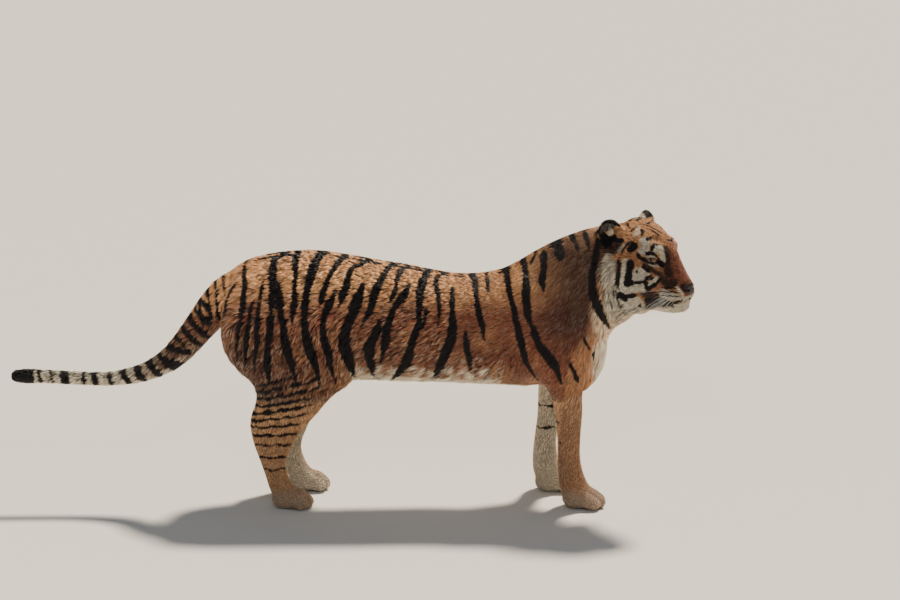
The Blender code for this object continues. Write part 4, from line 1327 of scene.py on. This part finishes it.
def build_claws(surface):
    """Drawn-in claws, of which only the tips show between the toes' fur."""
    model = hair_shape("claws", 8, 0.018, 0.0034, 0.45)
    matrices = []
    for kind in ("forepaw", "hind_paw"):
        for name in SIDES:
            low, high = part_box(f"{kind}_{name}")
            for k in range(4):
                across = (k - 1.5) * (high.y - low.y) * 0.24
                start = Vector((high.x + 0.05, middle_of(f"{kind}_{name}").y + across, 0.022))
                place, *_ = surface.ray_cast(start, Vector((-1, 0, 0)))
                if place is not None:
                    matrices.append(pointed(place + Vector((-0.010, 0, 0.004)), (1, 0.08 * (k - 1.5), -0.25)))
    return copies_joined("claws", model, matrices)


# ---- Materials ----
# Sizes of the grain of each material, metres
WOOL_GRAIN = 0.0024
NOSE_PEBBLE = 0.0015
NOSE_MOTTLE = 0.016
HORN_STREAK = 0.0033
WHISKER_BAND = 0.0125
# Half of the distance, metres, over which the edge of a marking blends: in the fur and on the skin
FUR_EDGE = 0.0010
SKIN_EDGE = 0.0020


def linear(code):
    """A hex sRGB colour as linear values."""
    values = [int(code[i : i + 2], 16) / 255 for i in (1, 3, 5)]
    return tuple(v / 12.92 if v <= 0.04045 else ((v + 0.055) / 1.055) ** 2.4 for v in values) + (1.0,)


def new_material(name):
    material = bpy.data.materials.new(name)
    material.use_nodes = True
    material.node_tree.nodes.clear()
    output = material.node_tree.nodes.new("ShaderNodeOutputMaterial")
    shader = material.node_tree.nodes.new("ShaderNodeBsdfPrincipled")
    material.node_tree.links.new(shader.outputs[0], output.inputs[0])
    return material, shader


def join(material, sockets, values):
    """Sets each named socket to its value, or links it to the output given instead."""
    for name, value in values.items():
        socket = sockets[int(name[1:])] if name[0] == "_" else sockets[name]
        if isinstance(value, bpy.types.NodeSocket):
            material.node_tree.links.new(value, socket)
        else:
            socket.default_value = value


def add_node(material, kind, settings=(), output=0, **inputs):
    """Adds a node with its settings, joins its inputs by name, or by number as _0, and gives one output."""
    node = material.node_tree.nodes.new(kind)
    for name, value in dict(settings).items():
        setattr(node, name, value)
    join(material, node.inputs, inputs)
    return node.outputs[output]


def finish_material(material, shader, **inputs):
    """Joins the shader's own inputs, whose names are written here with low lines, and gives the material."""
    join(material, shader.inputs, {name.replace("_", " "): value for name, value in inputs.items()})
    return material


def marked_colour(material, edge):
    """The coat's colour: golden to rufous ground, partly painted sunlight and shade, then dark umber that is
    mostly painted shade, pale fur, then black in the markings.
    """
    fields = {}
    for name in ("tone_and_painted_light", "painted_shade_and_umber", "pale", "stripe"):
        fields[name] = add_node(material, "ShaderNodeAttribute", {"attribute_name": name}, "Fac")
    fields["stripe"] = add_node(material, "ShaderNodeMapRange", (), 0, _0=fields["stripe"], _1=-edge, _2=edge)
    # Golden is the coat's orange lightened as painted sunlight along the back; the deep rufous is partly
    # painted shade on the flanks; the umber is painted shade, partly the ruff's own dark hair
    colour = linear("#E0A974")
    codes = {"tone_and_painted_light": "#844A35", "painted_shade_and_umber": "#3A1D17", "pale": "#D2C9B4", "stripe": "#130F13"}
    for name, code in codes.items():
        ends = {"_6": colour, "_7": linear(code)}
        colour = add_node(material, "ShaderNodeMix", {"data_type": "RGBA"}, 2, _0=fields[name], **ends)
    return colour


def fur_material():
    """Guard hairs over wool: each tuft darker at its root as painted shade and lighter at its tip as painted
    light, each lock lighter or darker with painted highlights and shade, with a soft gloss along its length.
    """
    material, shader = new_material("tiger_guard_hair")
    factors = []
    # Factors on the colour: tip runs from painted shade at the root to a painted highlight at the tip; lock
    # is each lock's random tone with the painted highlights and shade of the clumps
    for name, low, high in (("tip", 0.50, 1.22), ("lock", 0.28, 2.15)):
        value = add_node(material, "ShaderNodeAttribute", {"attribute_name": name}, "Fac")
        factors.append(add_node(material, "ShaderNodeMapRange", (), 0, _0=value, _3=low, _4=high))
    colour = marked_colour(material, FUR_EDGE)
    for factor in factors:
        colour = add_node(material, "ShaderNodeVectorMath", {"operation": "SCALE"}, 0, _0=colour, _3=factor)
    return finish_material(material, shader, Base_Color=colour, Roughness=0.52, Specular_IOR_Level=0.35)


def skin_material():
    """Under-wool lying flat on the skin: the coat's own markings, a little darker, with a fine hair grain."""
    material, shader = new_material("tiger_under_wool")
    noise = {"Vector": add_node(material, "ShaderNodeTexCoord", (), "Object"), "Scale": 1 / WOOL_GRAIN}
    grain = add_node(material, "ShaderNodeTexNoise", (), 0, Detail=3.0, **noise)
    darker = add_node(material, "ShaderNodeMapRange", (), 0, _0=grain, _1=0.3, _2=0.7, _3=0.45, _4=0.80)
    colour = marked_colour(material, SKIN_EDGE)
    colour = add_node(material, "ShaderNodeVectorMath", {"operation": "SCALE"}, 0, _0=colour, _3=darker)
    bump = add_node(material, "ShaderNodeBump", (), 0, Strength=0.5, Distance=0.0015, Height=grain)
    look = {"Roughness": 0.75, "Specular_IOR_Level": 0.2}
    return finish_material(material, shader, Base_Color=colour, Normal=bump, **look)


def nose_material():
    """Moist nose leather, dark reddish brown, partly its own colour and partly painted shade: fine pebbles,
    with dark mottling, and painted shade near black in the nostril hollows.
    """
    material, shader = new_material("nose_leather")
    coordinates = add_node(material, "ShaderNodeTexCoord", (), "Object")
    cells = {"Vector": coordinates, "Scale": 1 / NOSE_PEBBLE}
    pebbles = add_node(material, "ShaderNodeTexVoronoi", (), "Distance", **cells)
    noise = {"Vector": coordinates, "Scale": 1 / NOSE_MOTTLE}
    mottling = add_node(material, "ShaderNodeTexNoise", (), 0, Detail=2.0, **noise)
    share = add_node(material, "ShaderNodeMapRange", (), 0, _0=mottling, _1=0.40, _2=0.60)
    hollow = add_node(material, "ShaderNodeAttribute", {"attribute_name": "hollow"}, "Fac")
    # Dark leather, partly painted shade, then near black in the nostrils as painted shade
    colour = linear("#2B1917")
    for factor, code in ((share, "#100A09"), (hollow, "#060404")):
        ends = {"_6": colour, "_7": linear(code)}
        colour = add_node(material, "ShaderNodeMix", {"data_type": "RGBA"}, 2, _0=factor, **ends)
    bump = add_node(material, "ShaderNodeBump", (), 0, Strength=0.6, Distance=0.0006, Height=pebbles)
    look = {"Roughness": 0.45, "Specular_IOR_Level": 0.25}
    return finish_material(material, shader, Base_Color=colour, Normal=bump, **look)


def eye_material():
    """A wet eyeball: round black pupil, amber iris darkened as painted shade of its lids, dark rim, brown
    outside it.
    """
    material, shader = new_material("wet_eye")
    angle = add_node(material, "ShaderNodeAttribute", {"attribute_name": "angle"}, "Fac")
    ramp = add_node(material, "ShaderNodeValToRGB", (), 0, Fac=angle)
    stops = (
        (0.0, "#050505"), (0.12, "#050505"), (0.14, "#47371A"), (0.22, "#86652A"), (0.32, "#5E4A22"),
        (0.36, "#1E1810"), (0.40, "#30241C"), (1.0, "#4A382E"),
    )
    elements = ramp.node.color_ramp.elements
    while len(elements) < len(stops):
        elements.new(0.5)
    for element, (place, code) in zip(elements, stops):
        element.position = place
        element.color = linear(code)
    wet = {"Coat_Weight": 1.0, "Coat_Roughness": 0.03}
    return finish_material(material, shader, Base_Color=ramp, Roughness=0.25, **wet)


def floor_material():
    """Matt pale grey paint."""
    material, shader = new_material("matt_floor_paint")
    return finish_material(material, shader, Base_Color=linear("#D8D6D0"), Roughness=0.9)


def streaked_material(name, size, codes, roughness):
    """Claw horn with pale and darker streaks, or stiff whisker hair, waxy white and yellowish in places."""
    material, shader = new_material(name)
    coordinates = add_node(material, "ShaderNodeTexCoord", (), "Object")
    streaks = add_node(material, "ShaderNodeTexNoise", (), 0, Vector=coordinates, Scale=1 / size, Detail=2.0)
    ends = {"_6": linear(codes[0]), "_7": linear(codes[1])}
    colour = add_node(material, "ShaderNodeMix", {"data_type": "RGBA"}, 2, _0=streaks, **ends)
    return finish_material(material, shader, Base_Color=colour, Roughness=roughness)


# ---- Studio ----
CAMERA_AIM = Vector((0.3496, 0.0, 0.7243))
CAMERA_DISTANCE = 11.0
CAMERA_RISE = math.radians(14)
VIEW_WIDTH = 3.15  # of the plane through the aim
SENSOR = 36.0


def build_camera():
    data = bpy.data.cameras.new("camera")
    data.sensor_width = SENSOR
    data.lens = SENSOR * CAMERA_DISTANCE / VIEW_WIDTH
    camera = add_object("camera", data)
    way = Vector((0, -math.cos(CAMERA_RISE), math.sin(CAMERA_RISE)))
    camera.location = CAMERA_AIM + CAMERA_DISTANCE * way
    camera.rotation_euler = (math.pi / 2 - CAMERA_RISE, 0, 0)
    bpy.context.scene.camera = camera


def build_floor():
    bpy.ops.object.select_all(action="DESELECT")
    bpy.ops.mesh.primitive_plane_add(size=60, location=(0, 0, -0.0005))
    floor = bpy.context.object
    floor.name = floor.data.name = "studio_floor"
    floor.data.materials.append(floor_material())


def add_light(name, kind, place, aim, energy, code):
    data = bpy.data.lights.new(name, kind)
    data.energy = energy
    data.color = linear(code)[:3]
    light = add_object(name, data)
    light.location = place
    light.rotation_euler = (Vector(aim) - Vector(place)).to_track_quat("-Z", "Y").to_euler()
    return data


def build_light():
    add_light("key_light", "SUN", (0.9, 1.6, 3.0), (0, 0, 0), 6.8, "#FFF1DC").angle = math.radians(7)
    add_light("fill_light", "AREA", (0.2, -5.0, 3.8), (0.2, 0, 0.6), 42, "#EEF2FF").size = 0.6
    world = bpy.data.worlds.new("studio")
    world.use_nodes = True
    world.node_tree.nodes["Background"].inputs[0].default_value = linear("#DDE1E6")
    world.node_tree.nodes["Background"].inputs[1].default_value = 0.32
    bpy.context.scene.world = world


# ---- The whole tiger ----
def finish_piece(obj, material, slot, *replaced):
    obj.data.materials.clear()
    obj.data.materials.append(material)
    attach(obj, "root")
    if replaced:
        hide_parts(*replaced)


def main():
    build_camera()
    build_floor()
    build_light()
    skin = Skin(build_skin())
    surface = BVHTree.FromPolygons(skin.places.tolist(), skin.triangles.tolist())
    markings = Markings(surface)
    for name, values in markings.at(skin.places, skin.normals, skin.kinds == "ear").items():
        put_value(skin.obj.data, name, values)
    skin.obj.data.shade_smooth()
    fur = fur_material()
    for piece in build_coat(skin, surface, markings):
        finish_piece(piece, fur, "coat_black" if piece.name == "coat_ears" else "coat_orange")
    finish_piece(build_nose(skin), nose_material(), "nose_leather", "nose")
    finish_piece(skin.obj, skin_material(), "coat_orange", *[name for name in FLESH if name != "nose"])
    eye_finish = eye_material()
    for name in EYES:
        finish_piece(build_eye(name), eye_finish, "eye", name)
    hair = streaked_material("whisker_hair", WHISKER_BAND, ("#FBF8F0", "#E6DFCC"), 0.4)
    finish_piece(build_whiskers(surface), hair, "coat_pale")
    horn = streaked_material("claw_horn", HORN_STREAK, ("#CDBFA6", "#8A7A66"), 0.35)
    finish_piece(build_claws(surface), horn, "coat_pale")


main()
